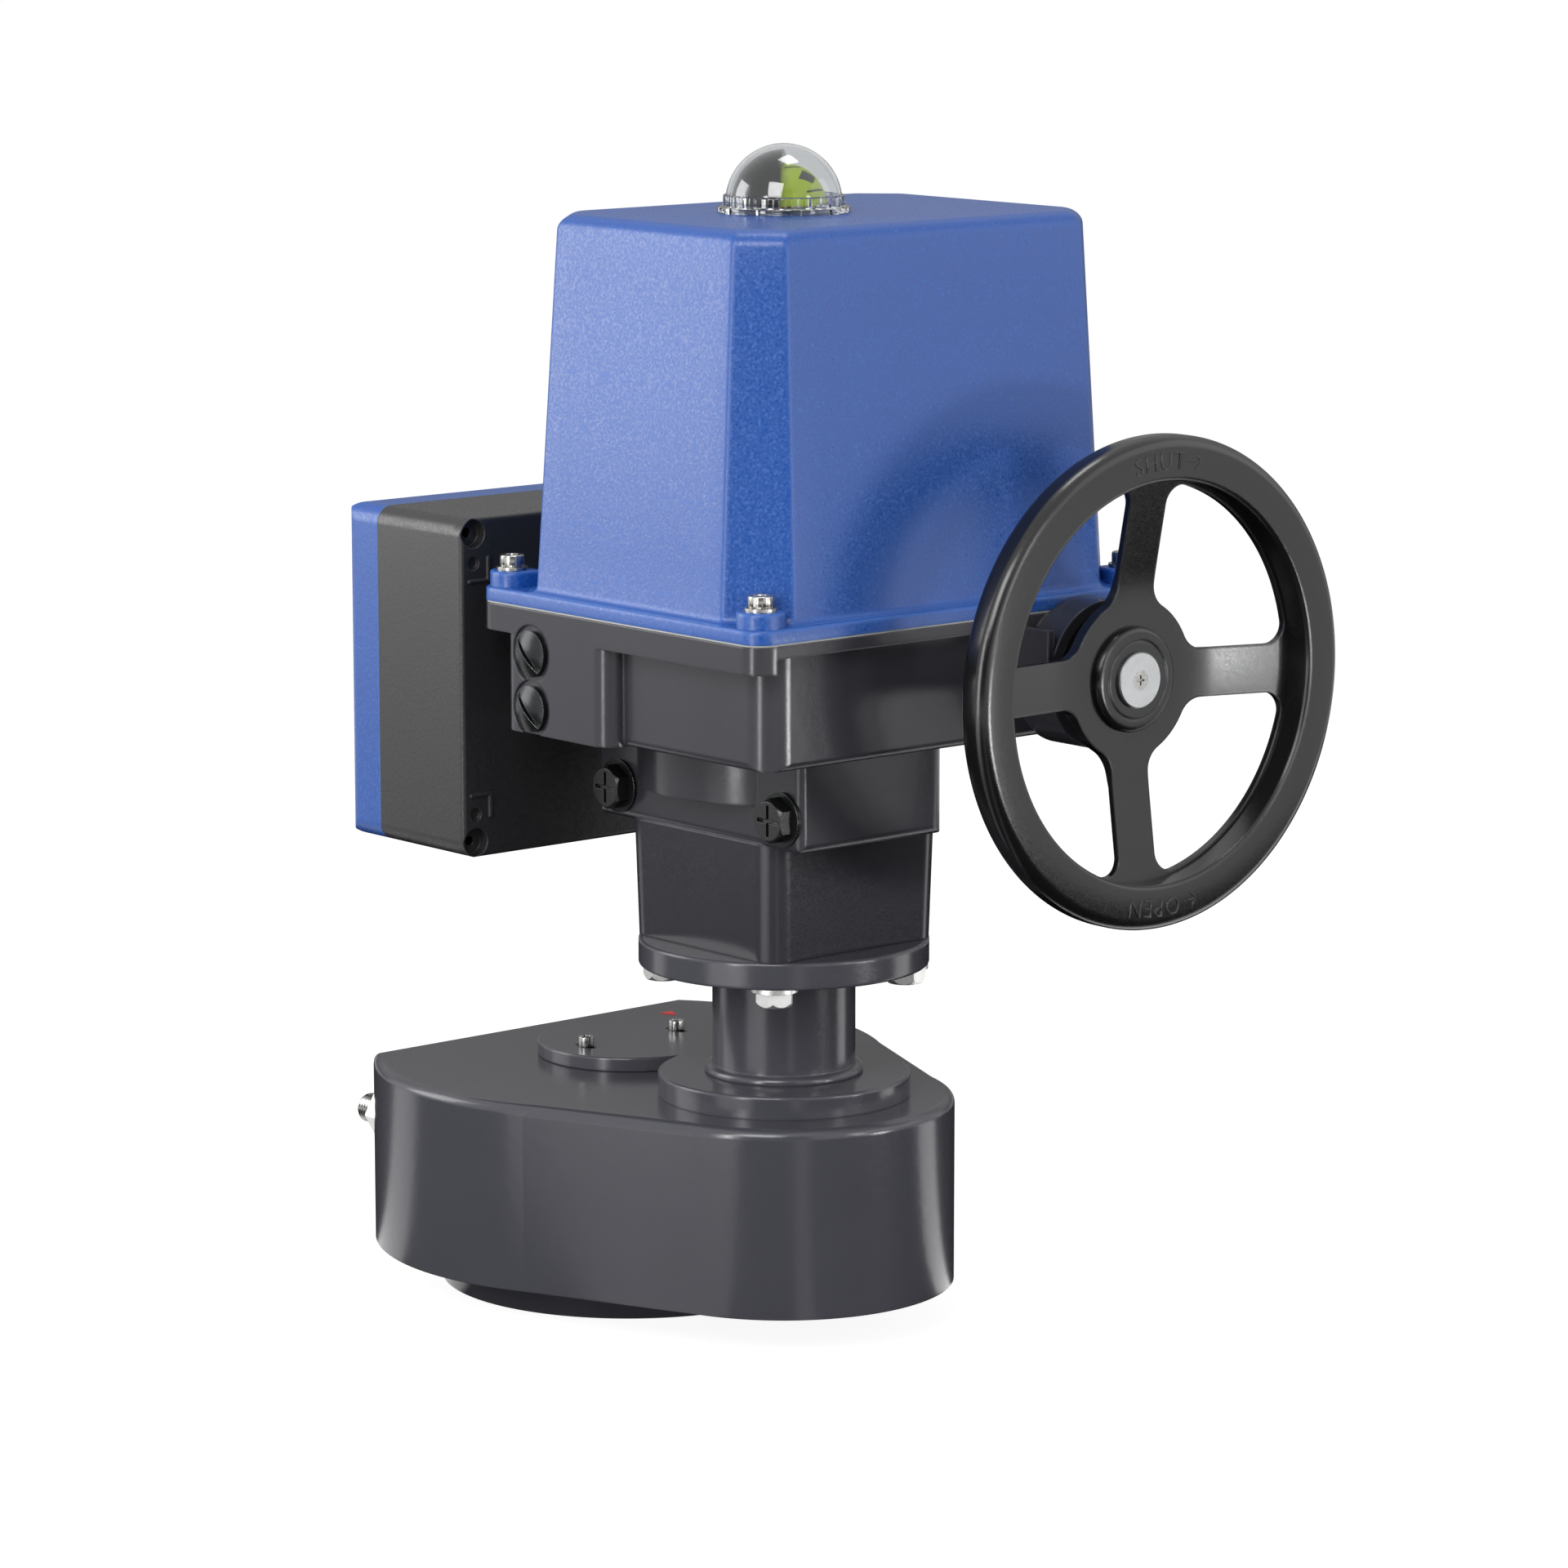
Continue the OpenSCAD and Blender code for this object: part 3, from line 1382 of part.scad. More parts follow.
module dome_window() {
  color("white") at_axis() difference() {
    rotate_extrude() {
      translate([0, hood_top]) square([dome_ring_r, dome_ring_h]);
      translate([0, hood_top]) square([dome_foot_r, dome_foot_h]);
      intersection() {
        translate([0, hood_top + dome_h - dome_r]) circle(r = dome_r);
        translate([0, hood_top]) square([dome_r + 1, dome_h + 1]);
      }
    }
    intersection() {
      translate([0, 0, hood_top + dome_h - dome_r]) sphere(r = dome_r - dome_wall);
      translate([0, 0, hood_top - 1]) cylinder(r = dome_r, h = dome_h);
    }
  }
}

module spoke_corner(side, ring, r, outer) {
  cx = side + r;
  reach = outer ? ring - r : ring + r;
  cy = sqrt(pow(reach, 2) - pow(cx, 2));
  far = outer ? 1.04 * ring : 0.6 * ring;
  difference() {
    polygon([
      [side - 0.5, cy], [side - 0.5, sqrt(pow(far, 2) - pow(side, 2))],
      [cx * far / reach, cy * far / reach], [cx, cy]
    ]);
    translate([cx, cy]) circle(r = r);
  }
}

module wheel_window() {
  side = spoke_width / 2;
  inner = wheel_r - rim_width - rim_ledge;
  difference() {
    intersection() {
      circle(r = inner);
      translate([side, side]) square([inner, inner]);
    }
    circle(r = plate_r);
    spoke_corner(side, plate_r, spoke_fillet, false);
    mirror([1, -1]) spoke_corner(side, plate_r, spoke_fillet, false);
    spoke_corner(side, inner, window_fillet, true);
    mirror([1, -1]) spoke_corner(side, inner, window_fillet, true);
  }
}

module turned_y() {
  translate([hand_x, axis_y, hand_z]) rotate([-90, 0, 0]) rotate_extrude() children();
}

module handwheel() {
  inner = wheel_r - rim_width;
  dish_r = plate_r + 3;
  color("black") difference() {
    union() {
      turned_y() intersection() {
        rounded_rect(inner, wheel_r + 9, -rim_front, -rim_front + rim_depth, rim_inner_round);
        rounded_rect(inner - 20, wheel_r, -rim_front, -rim_front + rim_depth, rim_round);
      }
      difference() {
        turned_y() polygon([
          [hand_shaft_r, -plate_front], [dish_r, -plate_front], [inner + 2, -spoke_front],
          [inner + 2, -spoke_front + spoke_h], [dish_r, -plate_front + spoke_h + 1],
          [hand_shaft_r, -plate_front + spoke_h + 1]
        ]);
        along_y(axis_y - rim_front - 1, axis_y - hub_back + 1)
          translate([hand_x, hand_z])
            for (a = [0 : 3])
              rotate([0, 0, 90 * a + spoke_turn]) wheel_window();
      }
      turned_y() rounded_rect(hand_shaft_r - 5, hub_r, -hub_front, -hub_back, hub_round);
    }
    rod_y(hand_x, hand_z, axis_y - rim_front, axis_y - hub_back + 1, hand_shaft_r);
    turned_y() translate([hub_groove_r - 0.3, -hub_front - 1]) square([0.6, 1.5]);
  }
}

module hand_shaft() {
  color("gray") difference() {
    union() {
      rod_y(hand_x, hand_z, axis_y - hub_front, dog_y - 8 - dog_gap - 3, hand_shaft_r);
      difference() {
        rod_y(hand_x, hand_z, dog_y - 16 - dog_gap, dog_y - 8 - dog_gap, dog_r);
        translate([hand_x - 30, dog_y - 12 - dog_gap, hand_z + 5]) cube([60, 5, 30]);
        translate([hand_x - 30, dog_y - 12 - dog_gap, hand_z - 35]) cube([60, 5, 30]);
      }
    }
    rod_y(hand_x, hand_z, axis_y - hub_front - 1, axis_y - hub_front + 14, end_shank_r);
  }
}

module end_washer() {
  color("silver") at_axis() turned_end() polygon([
    [end_shank_r, 0], [end_washer_r, 0], [end_washer_r, end_washer_h - 0.6],
    [end_washer_r - 0.6, end_washer_h], [end_screw_r, end_washer_h], [end_shank_r, end_cone_low]
  ]);
}

module turned_end() {
  translate([hand_x, -hub_front, hand_z]) rotate([90, 0, 0]) rotate_extrude() children();
}

module end_screw() {
  color("silver") at_axis() difference() {
    turned_end() polygon([
      [0, -13], [end_shank_r, -13], [end_shank_r, end_cone_low],
      [end_screw_r, end_washer_h], [0, end_washer_h]
    ]);
    for (a = [0, 90])
      translate([hand_x, -hub_front - end_washer_h - 1, hand_z])
        rotate([0, a, 0]) translate([-2.6, 0, -0.5]) cube([5.2, 2, 1]);
  }
}

module battery_neck() {
  color("dimgray") difference() {
    along_y(neck_front, neck_back) rounded_rect(-60, 60, case_low + 9, band_low - 2, 6);
    rod_y(0, hand_z - 5, neck_front - 1, neck_back + 1, 9);
  }
}

module box_outline(inset) {
  rounded_rect(-box_half + inset, box_half - inset, box_low + inset, box_high - inset, box_edge - inset);
}

module box_screws_2d(r, margin) {
  for (x = [-box_half + margin, box_half - margin])
    for (z = [box_low + margin, box_high - margin])
      translate([x, z]) circle(r = r);
}

module box_rib() {
  translate([0, 0]) square([1.5, 13]);
  translate([-12, 0]) square([13, 1.5]);
}

module battery_box() {
  color("dimgray") {
    difference() {
      intersection() {
        along_y(neck_back, seam_y) box_outline(0);
        along_x(-box_half - 1, box_half + 1)
          rounded_rect(neck_back, lid_y + 9, box_low, box_high, box_front_edge);
        raise(box_low - 1, box_high + 1)
          rounded_rect(-box_half, box_half, neck_back, lid_y + 9, box_front_edge);
      }
      difference() {
        along_y(neck_back + box_wall, seam_y + 1) box_outline(box_wall);
        along_y(neck_back, seam_y + 1) box_screws_2d(10, 8);
      }
      along_y(neck_back - 1, neck_back + box_recess_h) box_screws_2d(box_recess_r, 8);
      along_y(neck_back - 1, seam_y + 1) box_screws_2d(2.6, 8);
      rod_y(0, hand_z - 5, neck_back - 1, neck_back + box_wall + 1, 9);
      for (x = [-box_half + 8, box_half - 8])
        for (z = [box_low + 22.5, box_high - 23.4])
          rod_y(x, z, neck_back - 1, neck_back + 2, 3.5);
    }
    along_y(neck_back - 1, neck_back + 1) {
      translate([-box_half + 16.5, box_high - 33.4]) box_rib();
      mirror([1, 0]) translate([-box_half + 16.5, box_high - 33.4]) box_rib();
      translate([-box_half + 16.5, box_low + 33.4]) mirror([0, 1]) box_rib();
      mirror([1, 0]) translate([-box_half + 16.5, box_low + 33.4]) mirror([0, 1]) box_rib();
    }
  }
}

module battery_lid() {
  color("royalblue") difference() {
    intersection() {
      along_y(seam_y, lid_y) box_outline(0);
      along_x(-box_half - 1, box_half + 1)
        rounded_rect(seam_y - 20, lid_y, box_low, box_high, 8);
      raise(box_low - 1, box_high + 1)
        rounded_rect(-box_half, box_half, seam_y - 20, lid_y, 8);
    }
    along_y(seam_y - 1, lid_y - box_wall) difference() {
      box_outline(box_wall);
      box_screws_2d(10, 8);
    }
    along_y(seam_y - 1, seam_y + 16) box_screws_2d(2.6, 8);
  }
}

module battery_cells() {
  color("gray") for (k = [0 : 3])
    for (s = [-1, 1])
      translate([s * (cell_length / 2 + 2) - cell_length / 2, neck_back + face_gap + box_wall + cell_r, 0])
        translate([0, 0, box_low + box_wall + cell_r + 0.3 + k * (2 * cell_r + 0.3)])
          rotate([0, 90, 0]) cylinder(r = cell_r, h = cell_length);
}

module charger_board() {
  color("green") {
    translate([-70, seam_y - 14, box_low + box_wall]) cube([140, board_h, 130]);
    translate([-50, seam_y - 14 + board_h, box_low + 60]) cube([30, 12, 30]);
    translate([10, seam_y - 14 + board_h, box_low + 50]) cube([40, 14, 24]);
  }
}

output_flange();
output_bushes();
gearbox_base();
gearbox_housing();
pinion_bushes();
stop_screws();
stop_nuts();
position_mark();
gear_sector();
output_sleeve();
position_disc();
disc_screws();
column_foot();
mounting_column();
column_flange();
column_bolts();
pinion_shaft();
drive_sleeve();
worm_wheel();
main_bearings();
actuator_housing();
hex_plugs();
hex_plug_washers();
cable_plugs();
hand_shaft_bush();
hand_shaft_seal();
worm_bushes();
worm_shaft();
worm_gear();
chassis_plate();
motor_bracket();
motor_stator();
motor_rotor();
motor_gear();
motor_idler();
indicator_drive_gear();
indicator_idler();
indicator_bridge();
indicator_spindle();
indicator_drum();
indicator_flag();
control_board();
terminal_block();
transformer();
cover_seal();
top_cover();
cover_screws();
cover_washers();
dome_window();
handwheel();
hand_shaft();
end_washer();
end_screw();
battery_neck();
battery_box();
battery_lid();
battery_cells();
charger_board();
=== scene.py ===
# %% [markdown]
# # An electric valve actuator in Blender
# The real thing turns a large valve. A blue hood covers a motor and its
# electronics, a handwheel drives the same worm by hand, a battery unit hangs on
# the back, and a flat spur gearbox at the bottom slows the turn down again.
# The solids come from the CAD model. This lesson gives them their finishes and
# makes the pieces whose shape needs more than flat faces and plain cylinders.

# %% Load the fixed frame
import bpy
import bmesh
import math
import numpy as np
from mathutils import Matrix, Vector


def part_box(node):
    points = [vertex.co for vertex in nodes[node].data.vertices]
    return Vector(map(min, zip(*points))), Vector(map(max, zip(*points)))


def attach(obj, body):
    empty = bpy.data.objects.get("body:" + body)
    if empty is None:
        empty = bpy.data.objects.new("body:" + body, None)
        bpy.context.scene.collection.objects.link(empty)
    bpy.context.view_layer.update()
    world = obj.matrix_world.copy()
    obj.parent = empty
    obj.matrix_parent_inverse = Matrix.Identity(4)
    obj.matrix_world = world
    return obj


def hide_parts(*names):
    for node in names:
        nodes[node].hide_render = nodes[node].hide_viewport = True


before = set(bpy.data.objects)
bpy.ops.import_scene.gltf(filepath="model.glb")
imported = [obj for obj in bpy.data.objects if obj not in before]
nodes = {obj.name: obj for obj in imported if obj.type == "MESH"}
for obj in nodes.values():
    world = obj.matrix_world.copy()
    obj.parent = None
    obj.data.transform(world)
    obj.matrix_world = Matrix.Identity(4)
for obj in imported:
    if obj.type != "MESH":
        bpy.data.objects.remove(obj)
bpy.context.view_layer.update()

# %% [markdown]
# ## The camera
# The photograph was taken from the front left, a little from above, with a long
# lens. A long lens keeps upright edges nearly parallel. The place and the focal
# length were worked out from edges whose real size is known.

# %% Camera
EYE = Vector((-1.8943, -2.3328, 0.79405))
LOOK = Vector((0.6413, 0.7474, -0.1736))
FOCAL_PIXELS, IMAGE_PIXELS, SENSOR = 7050.07, 1920.0, 36.0

camera_data = bpy.data.cameras.new("camera")
camera_data.sensor_width = SENSOR
camera_data.sensor_fit = "HORIZONTAL"
camera_data.lens = FOCAL_PIXELS / IMAGE_PIXELS * SENSOR
camera_data.clip_end = 60.0
camera = bpy.data.objects.new("camera", camera_data)
bpy.context.scene.collection.objects.link(camera)
camera.location = EYE
camera.rotation_euler = LOOK.to_track_quat("-Z", "Y").to_euler()
bpy.context.scene.camera = camera
bpy.context.scene.view_settings.view_transform = "Standard"
print("lens: %.1f mm" % camera_data.lens)

# %% [markdown]
# ## Small helpers for colours and nodes
# A colour is picked on a screen as an sRGB hex value, but a shader works with
# linear light, so one function turns one into the other. A second function adds
# a node, sets its inputs and links what feeds it.

# %% Helpers for materials
def srgb(hex_value, alpha=1.0):
    """Linear colour of an sRGB hex value: c/12.92 below 0.04045, else ((c+0.055)/1.055)^2.4."""
    c = np.array([int(hex_value[i:i + 2], 16) for i in (1, 3, 5)]) / 255.0
    linear = np.where(c <= 0.04045, c / 12.92, ((c + 0.055) / 1.055) ** 2.4)
    return (*linear.tolist(), alpha)


def add(tree, kind, settings=None, links=None):
    """Adds one node. A setting or link is named by the input's name or number, or by a property."""
    node = tree.nodes.new(kind)
    for key, value in (settings or {}).items():
        if isinstance(key, int) or key in node.inputs:
            node.inputs[key].default_value = value
        else:
            setattr(node, key, value)
    for key, source in (links or {}).items():
        tree.links.new(source, node.inputs[key])
    return node


def per_mm(size):
    """Scale of a noise whose spots are about size millimetres wide, on coordinates in metres."""
    return 1000.0 / size


print("blue paint in linear light:", [round(v, 3) for v in srgb("#1b55b4")])

# %% [markdown]
# ## One recipe for a coated or moulded surface
# Most outer surfaces here are paint or plastic, and the eye reads the same four
# things in each: slow colour drift over the part, fine grain that breaks up the
# gloss, a wavy "orange peel" where wet paint flowed, and rounded edges, which get
# a lighter colour as a painted highlight. The recipe has a size in millimetres
# for each, so that every finish is tuned by measured values.

# %% Recipe for a coated surface
def coated(name, colour, highlight_colour, drift_mm=70.0, drift=0.06, grain_mm=0.8, grain=0.02,
           peel_mm=9.0, peel=0.0, rough=0.35, rough_spread=0.08, metallic=0.0, specular=0.5,
           coat=0.0, coat_rough=0.1, edge_mm=1.2, speckle=0.0):
    """A Principled material on Object coordinates. Height = grain * noise(p / grain_mm)
    + peel * noise(p / peel_mm), in millimetres. Edge mask = 1 - bevel normal . true normal;
    it mixes in the lighter second colour as a painted edge highlight. Pale fine-noise spots are painted glints."""
    material = bpy.data.materials.new(name)
    material.use_nodes = True
    tree = material.node_tree
    tree.nodes.clear()
    place = add(tree, "ShaderNodeTexCoord").outputs["Object"]
    slow = add(tree, "ShaderNodeTexNoise", {"Scale": per_mm(drift_mm), "Detail": 3.0}, {"Vector": place})
    fine = add(tree, "ShaderNodeTexNoise", {"Scale": per_mm(grain_mm), "Detail": 2.0}, {"Vector": place})
    wavy = add(tree, "ShaderNodeTexNoise", {"Scale": per_mm(peel_mm), "Detail": 1.0}, {"Vector": place})

    bevel = add(tree, "ShaderNodeBevel", {"samples": 4, "Radius": edge_mm / 1000.0})
    true_normal = add(tree, "ShaderNodeNewGeometry").outputs["Normal"]
    agree = add(tree, "ShaderNodeVectorMath", {"operation": "DOT_PRODUCT"},
                {0: bevel.outputs["Normal"], 1: true_normal})
    # Painted edge highlight: the lighter second colour is mixed in where the bevel normal turns away from the true
    # normal.
    edge_highlight = add(tree, "ShaderNodeMapRange",
               {"From Min": 0.995, "From Max": 0.90, "To Min": 0.0, "To Max": 1.0},
               {"Value": agree.outputs["Value"]})

    light = add(tree, "ShaderNodeMapRange",
                {"From Min": 0.3, "From Max": 0.7, "To Min": 1.0 - drift, "To Max": 1.0 + drift},
                {"Value": slow.outputs["Fac"]})
    drifted = add(tree, "ShaderNodeVectorMath", {"operation": "SCALE", 0: srgb(colour)[:3]},
                  {"Scale": light.outputs["Result"]})
    # Painted glints: pale spots where the fine noise is high, mixed into the colour with the lighter second colour.
    painted_glints = add(tree, "ShaderNodeMapRange",
                {"From Min": 0.55, "From Max": 0.75, "To Min": 0.0, "To Max": speckle},
                {"Value": fine.outputs["Fac"]})
    glint_speckled = add(tree, "ShaderNodeMix", {"data_type": "RGBA", 7: srgb(highlight_colour)},
                   {0: painted_glints.outputs["Result"], 6: drifted.outputs["Vector"]})
    edge_highlighted = add(tree, "ShaderNodeMix", {"data_type": "RGBA", 7: srgb(highlight_colour)},
                {0: edge_highlight.outputs["Result"], 6: glint_speckled.outputs[2]})

    gloss = add(tree, "ShaderNodeMapRange",
                {"From Min": 0.3, "From Max": 0.7,
                 "To Min": rough - rough_spread, "To Max": rough + rough_spread},
                {"Value": fine.outputs["Fac"]})
    height = add(tree, "ShaderNodeMath", {"operation": "MULTIPLY_ADD", 1: grain}, {0: fine.outputs["Fac"]})
    swell = add(tree, "ShaderNodeMath", {"operation": "MULTIPLY", 1: peel}, {0: wavy.outputs["Fac"]})
    tree.links.new(swell.outputs[0], height.inputs[2])
    bump = add(tree, "ShaderNodeBump", {"Strength": 1.0, "Distance": 0.001},
               {"Height": height.outputs[0], "Normal": bevel.outputs["Normal"]})
    shader = add(tree, "ShaderNodeBsdfPrincipled",
                 {"Metallic": metallic, "Specular IOR Level": specular, "Coat Weight": coat,
                  "Coat Roughness": coat_rough},
                 {"Base Color": edge_highlighted.outputs[2], "Roughness": gloss.outputs["Result"],
                  "Normal": bump.outputs["Normal"]})
    add(tree, "ShaderNodeOutputMaterial", {}, {"Surface": shader.outputs["BSDF"]})
    return material


# %% [markdown]
# ## The paints and plastics
# Polyester powder coat is baked from dry grains, so the blue hood has an even,
# finely pebbled skin whose tiny slopes catch light as pale specks; these specks
# are painted into its colour as glints. The cast housings have wet two-part
# paint: smoother, glossier, with orange peel.

# %% Paints and plastics
# The second colour of each finish is its painted edge highlight, and on the blue hood also its painted glints.
powder_blue = coated("blue_polyester_powder_coat", "#104692", "#3f70bd", drift=0.03, grain_mm=1.5,
                     grain=0.10, rough=0.40, rough_spread=0.14, specular=0.5, coat=0.2, coat_rough=0.22,
                     edge_mm=2.6, speckle=0.45)
cast_paint = coated("anthracite_two_part_paint", "#323237", "#44444a", drift=0.05, grain_mm=1.0,
                    grain=0.006, peel_mm=7.0, peel=0.035, rough=0.20, rough_spread=0.05,
                    specular=0.38, edge_mm=1.6)
gearbox_paint = coated("anthracite_gloss_paint", "#424248", "#515157", drift=0.05, grain_mm=1.2,
                       grain=0.003, peel_mm=6.0, peel=0.045, rough=0.20, rough_spread=0.04,
                       specular=0.5, edge_mm=1.4)
wheel_lacquer = coated("black_lacquered_die_casting", "#121213", "#2a2a2c", drift=0.06, grain_mm=1.0,
                       grain=0.012, peel_mm=3.5, peel=0.012, rough=0.20, rough_spread=0.04,
                       specular=0.55, edge_mm=1.5)
box_polyester = coated("anthracite_moulded_polyester", "#222224", "#333335", drift=0.05, grain_mm=1.8,
                       grain=0.05, rough=0.36, rough_spread=0.08, specular=0.5, edge_mm=1.2)
black_nylon = coated("black_moulded_nylon", "#131314", "#222224", grain_mm=0.7, grain=0.01,
                     rough=0.30, edge_mm=0.6)
dark_plug = coated("black_nickel_plated_brass", "#2e2f30", "#6a6b6c", grain_mm=0.6, grain=0.006,
                   rough=0.26, rough_spread=0.08, metallic=0.75, edge_mm=0.5)
seal_rubber = coated("black_nitrile_rubber", "#101010", "#1a1a1a", grain_mm=0.5, grain=0.01,
                     rough=0.6, edge_mm=0.4)
pale_gasket = coated("pale_fibre_gasket", "#b9b8b2", "#c9c8c2", grain_mm=0.5, grain=0.01, rough=0.7,
                     edge_mm=0.3)
drum_black = coated("black_moulded_abs", "#0c0c0d", "#1a1a1c", grain_mm=0.5, grain=0.002, rough=0.18,
                    edge_mm=0.4)
warning_red = coated("red_marking_paint", "#d8322e", "#e04a44", grain_mm=0.6, grain=0.01, rough=0.5,
                     edge_mm=0.3)
board_green = coated("green_solder_resist", "#15603a", "#1d7a4b", grain_mm=0.6, grain=0.004, rough=0.3,
                     edge_mm=0.3)
shrink_wrap = coated("blue_shrink_sleeve", "#2a5fa8", "#3a72bd", grain_mm=2.0, grain=0.01, rough=0.25,
                     edge_mm=0.5)
print("coated materials:", len(bpy.data.materials))

# %% [markdown]
# ## Bare metals
# A metal has no colour of its own under its shine: the shine is the colour. What
# tells the metals apart is tint and the marks of making. Turned faces carry fine
# rings, zinc has a dull crystal bloom, and bronze is warm.

# %% Recipe for a bare metal
def bare_metal(name, colour, dark_colour, rough=0.28, mark_mm=0.6, mark=0.004, bloom_mm=5.0,
               stretch=(1.0, 1.0, 1.0), edge_mm=0.4):
    """A metal whose marks are noise on coordinates stretched along the direction of the tool."""
    material = bpy.data.materials.new(name)
    material.use_nodes = True
    tree = material.node_tree
    tree.nodes.clear()
    place = add(tree, "ShaderNodeTexCoord").outputs["Object"]
    along = add(tree, "ShaderNodeMapping", {"Scale": stretch}, {"Vector": place})
    marks = add(tree, "ShaderNodeTexNoise", {"Scale": per_mm(mark_mm), "Detail": 3.0},
                {"Vector": along.outputs["Vector"]})
    bloom = add(tree, "ShaderNodeTexNoise", {"Scale": per_mm(bloom_mm), "Detail": 4.0}, {"Vector": place})
    tint = add(tree, "ShaderNodeMix", {"data_type": "RGBA", 6: srgb(dark_colour), 7: srgb(colour)},
               {0: bloom.outputs["Fac"]})
    dull = add(tree, "ShaderNodeMapRange",
               {"From Min": 0.3, "From Max": 0.7, "To Min": rough - 0.07, "To Max": rough + 0.09},
               {"Value": marks.outputs["Fac"]})
    bevel = add(tree, "ShaderNodeBevel", {"samples": 4, "Radius": edge_mm / 1000.0})
    height = add(tree, "ShaderNodeMath", {"operation": "MULTIPLY", 1: mark}, {0: marks.outputs["Fac"]})
    bump = add(tree, "ShaderNodeBump", {"Strength": 1.0, "Distance": 0.001},
               {"Height": height.outputs[0], "Normal": bevel.outputs["Normal"]})
    shader = add(tree, "ShaderNodeBsdfPrincipled", {"Metallic": 1.0},
                 {"Base Color": tint.outputs[2], "Roughness": dull.outputs["Result"],
                  "Normal": bump.outputs["Normal"]})
    add(tree, "ShaderNodeOutputMaterial", {}, {"Surface": shader.outputs["BSDF"]})
    return material


stainless = bare_metal("turned_stainless_steel", "#c4c3c0", "#8e8d8a", rough=0.22, stretch=(1.0, 1.0, 0.1))
zinc_plate = bare_metal("zinc_plated_steel", "#eeeeec", "#d6d7d6", rough=0.38, mark=0.006)
disc_steel = bare_metal("sanded_stainless_disc", "#a9abac", "#98999a", rough=0.42, mark_mm=0.4, mark=0.005)
screw_steel = bare_metal("passivated_stainless_screw", "#b4b3b0", "#8a8987", rough=0.30, edge_mm=0.12)
gear_steel = bare_metal("hobbed_gear_steel", "#9a9a9c", "#77777a", rough=0.35)
bronze = bare_metal("cast_bronze", "#b98a4a", "#946a33", rough=0.35)
cast_aluminium = bare_metal("machined_aluminium", "#c8c9cb", "#aeb0b2", rough=0.38)
print("metals:", stainless.name, zinc_plate.name, bronze.name)

# %% [markdown]
# ## Clear, painted and two-tone parts
# The dome is injection-moulded polycarbonate: it bends light a little more than
# glass does and carries a faint grey. The yellow half of the indicator has a
# diamond and two strokes printed on it. They are drawn where a point's distance
# to a fixed direction is small, so they turn with the part.

# %% The clear dome
def clear_plastic(name, colour, rough, ior):
    """Principled transmission with fine moulding waves in its gloss."""
    material = bpy.data.materials.new(name)
    material.use_nodes = True
    tree = material.node_tree
    tree.nodes.clear()
    place = add(tree, "ShaderNodeTexCoord").outputs["Object"]
    waves = add(tree, "ShaderNodeTexNoise", {"Scale": per_mm(14.0), "Detail": 1.0}, {"Vector": place})
    gloss = add(tree, "ShaderNodeMapRange",
                {"From Min": 0.3, "From Max": 0.7, "To Min": rough, "To Max": rough * 2.0},
                {"Value": waves.outputs["Fac"]})
    bump = add(tree, "ShaderNodeBump", {"Strength": 0.15, "Distance": 0.0004},
               {"Height": waves.outputs["Fac"]})
    shader = add(tree, "ShaderNodeBsdfPrincipled",
                 {"Base Color": srgb(colour), "Transmission Weight": 1.0, "IOR": ior},
                 {"Roughness": gloss.outputs["Result"], "Normal": bump.outputs["Normal"]})
    add(tree, "ShaderNodeOutputMaterial", {}, {"Surface": shader.outputs["BSDF"]})
    return material


polycarbonate = clear_plastic("clear_polycarbonate", "#dcdedf", 0.015, 1.5)

# %% The yellow half with its printed marks
FLAG_MIDDLE = np.array([0.0, -0.125, 0.577])
FLAG_RADIUS = 0.0217


def on_flag(azimuth, latitude):
    """Point of the yellow sphere: R (cos(lat) cos(az), cos(lat) sin(az), sin(lat)) + middle."""
    a, b = math.radians(azimuth), math.radians(latitude)
    direction = [math.cos(b) * math.cos(a), math.cos(b) * math.sin(a), math.sin(b)]
    return FLAG_MIDDLE + FLAG_RADIUS * np.array(direction)


def printed_mark(tree, place, centre, wide, tall, power):
    """Mask of the points where (|u|/wide)^power + (|v|/tall)^power < 1, u to the side and v upwards."""
    outward = (np.array(centre) - FLAG_MIDDLE) / FLAG_RADIUS
    side = np.cross([0.0, 0.0, 1.0], outward)
    side /= np.linalg.norm(side)
    up = np.cross(outward, side)
    offset = add(tree, "ShaderNodeVectorMath", {"operation": "SUBTRACT", 1: tuple(centre)}, {0: place})
    total = None
    for direction, size in ((side, wide), (up, tall)):
        along = add(tree, "ShaderNodeVectorMath", {"operation": "DOT_PRODUCT", 1: tuple(direction / size * 1000.0)},
                    {0: offset.outputs["Vector"]})
        size_only = add(tree, "ShaderNodeMath", {"operation": "ABSOLUTE"}, {0: along.outputs["Value"]})
        raised = add(tree, "ShaderNodeMath", {"operation": "POWER", 1: power}, {0: size_only.outputs[0]})
        total = raised.outputs[0] if total is None else add(
            tree, "ShaderNodeMath", {"operation": "ADD"}, {0: total, 1: raised.outputs[0]}).outputs[0]
    return add(tree, "ShaderNodeMath", {"operation": "LESS_THAN", 1: 1.0}, {0: total}).outputs[0]


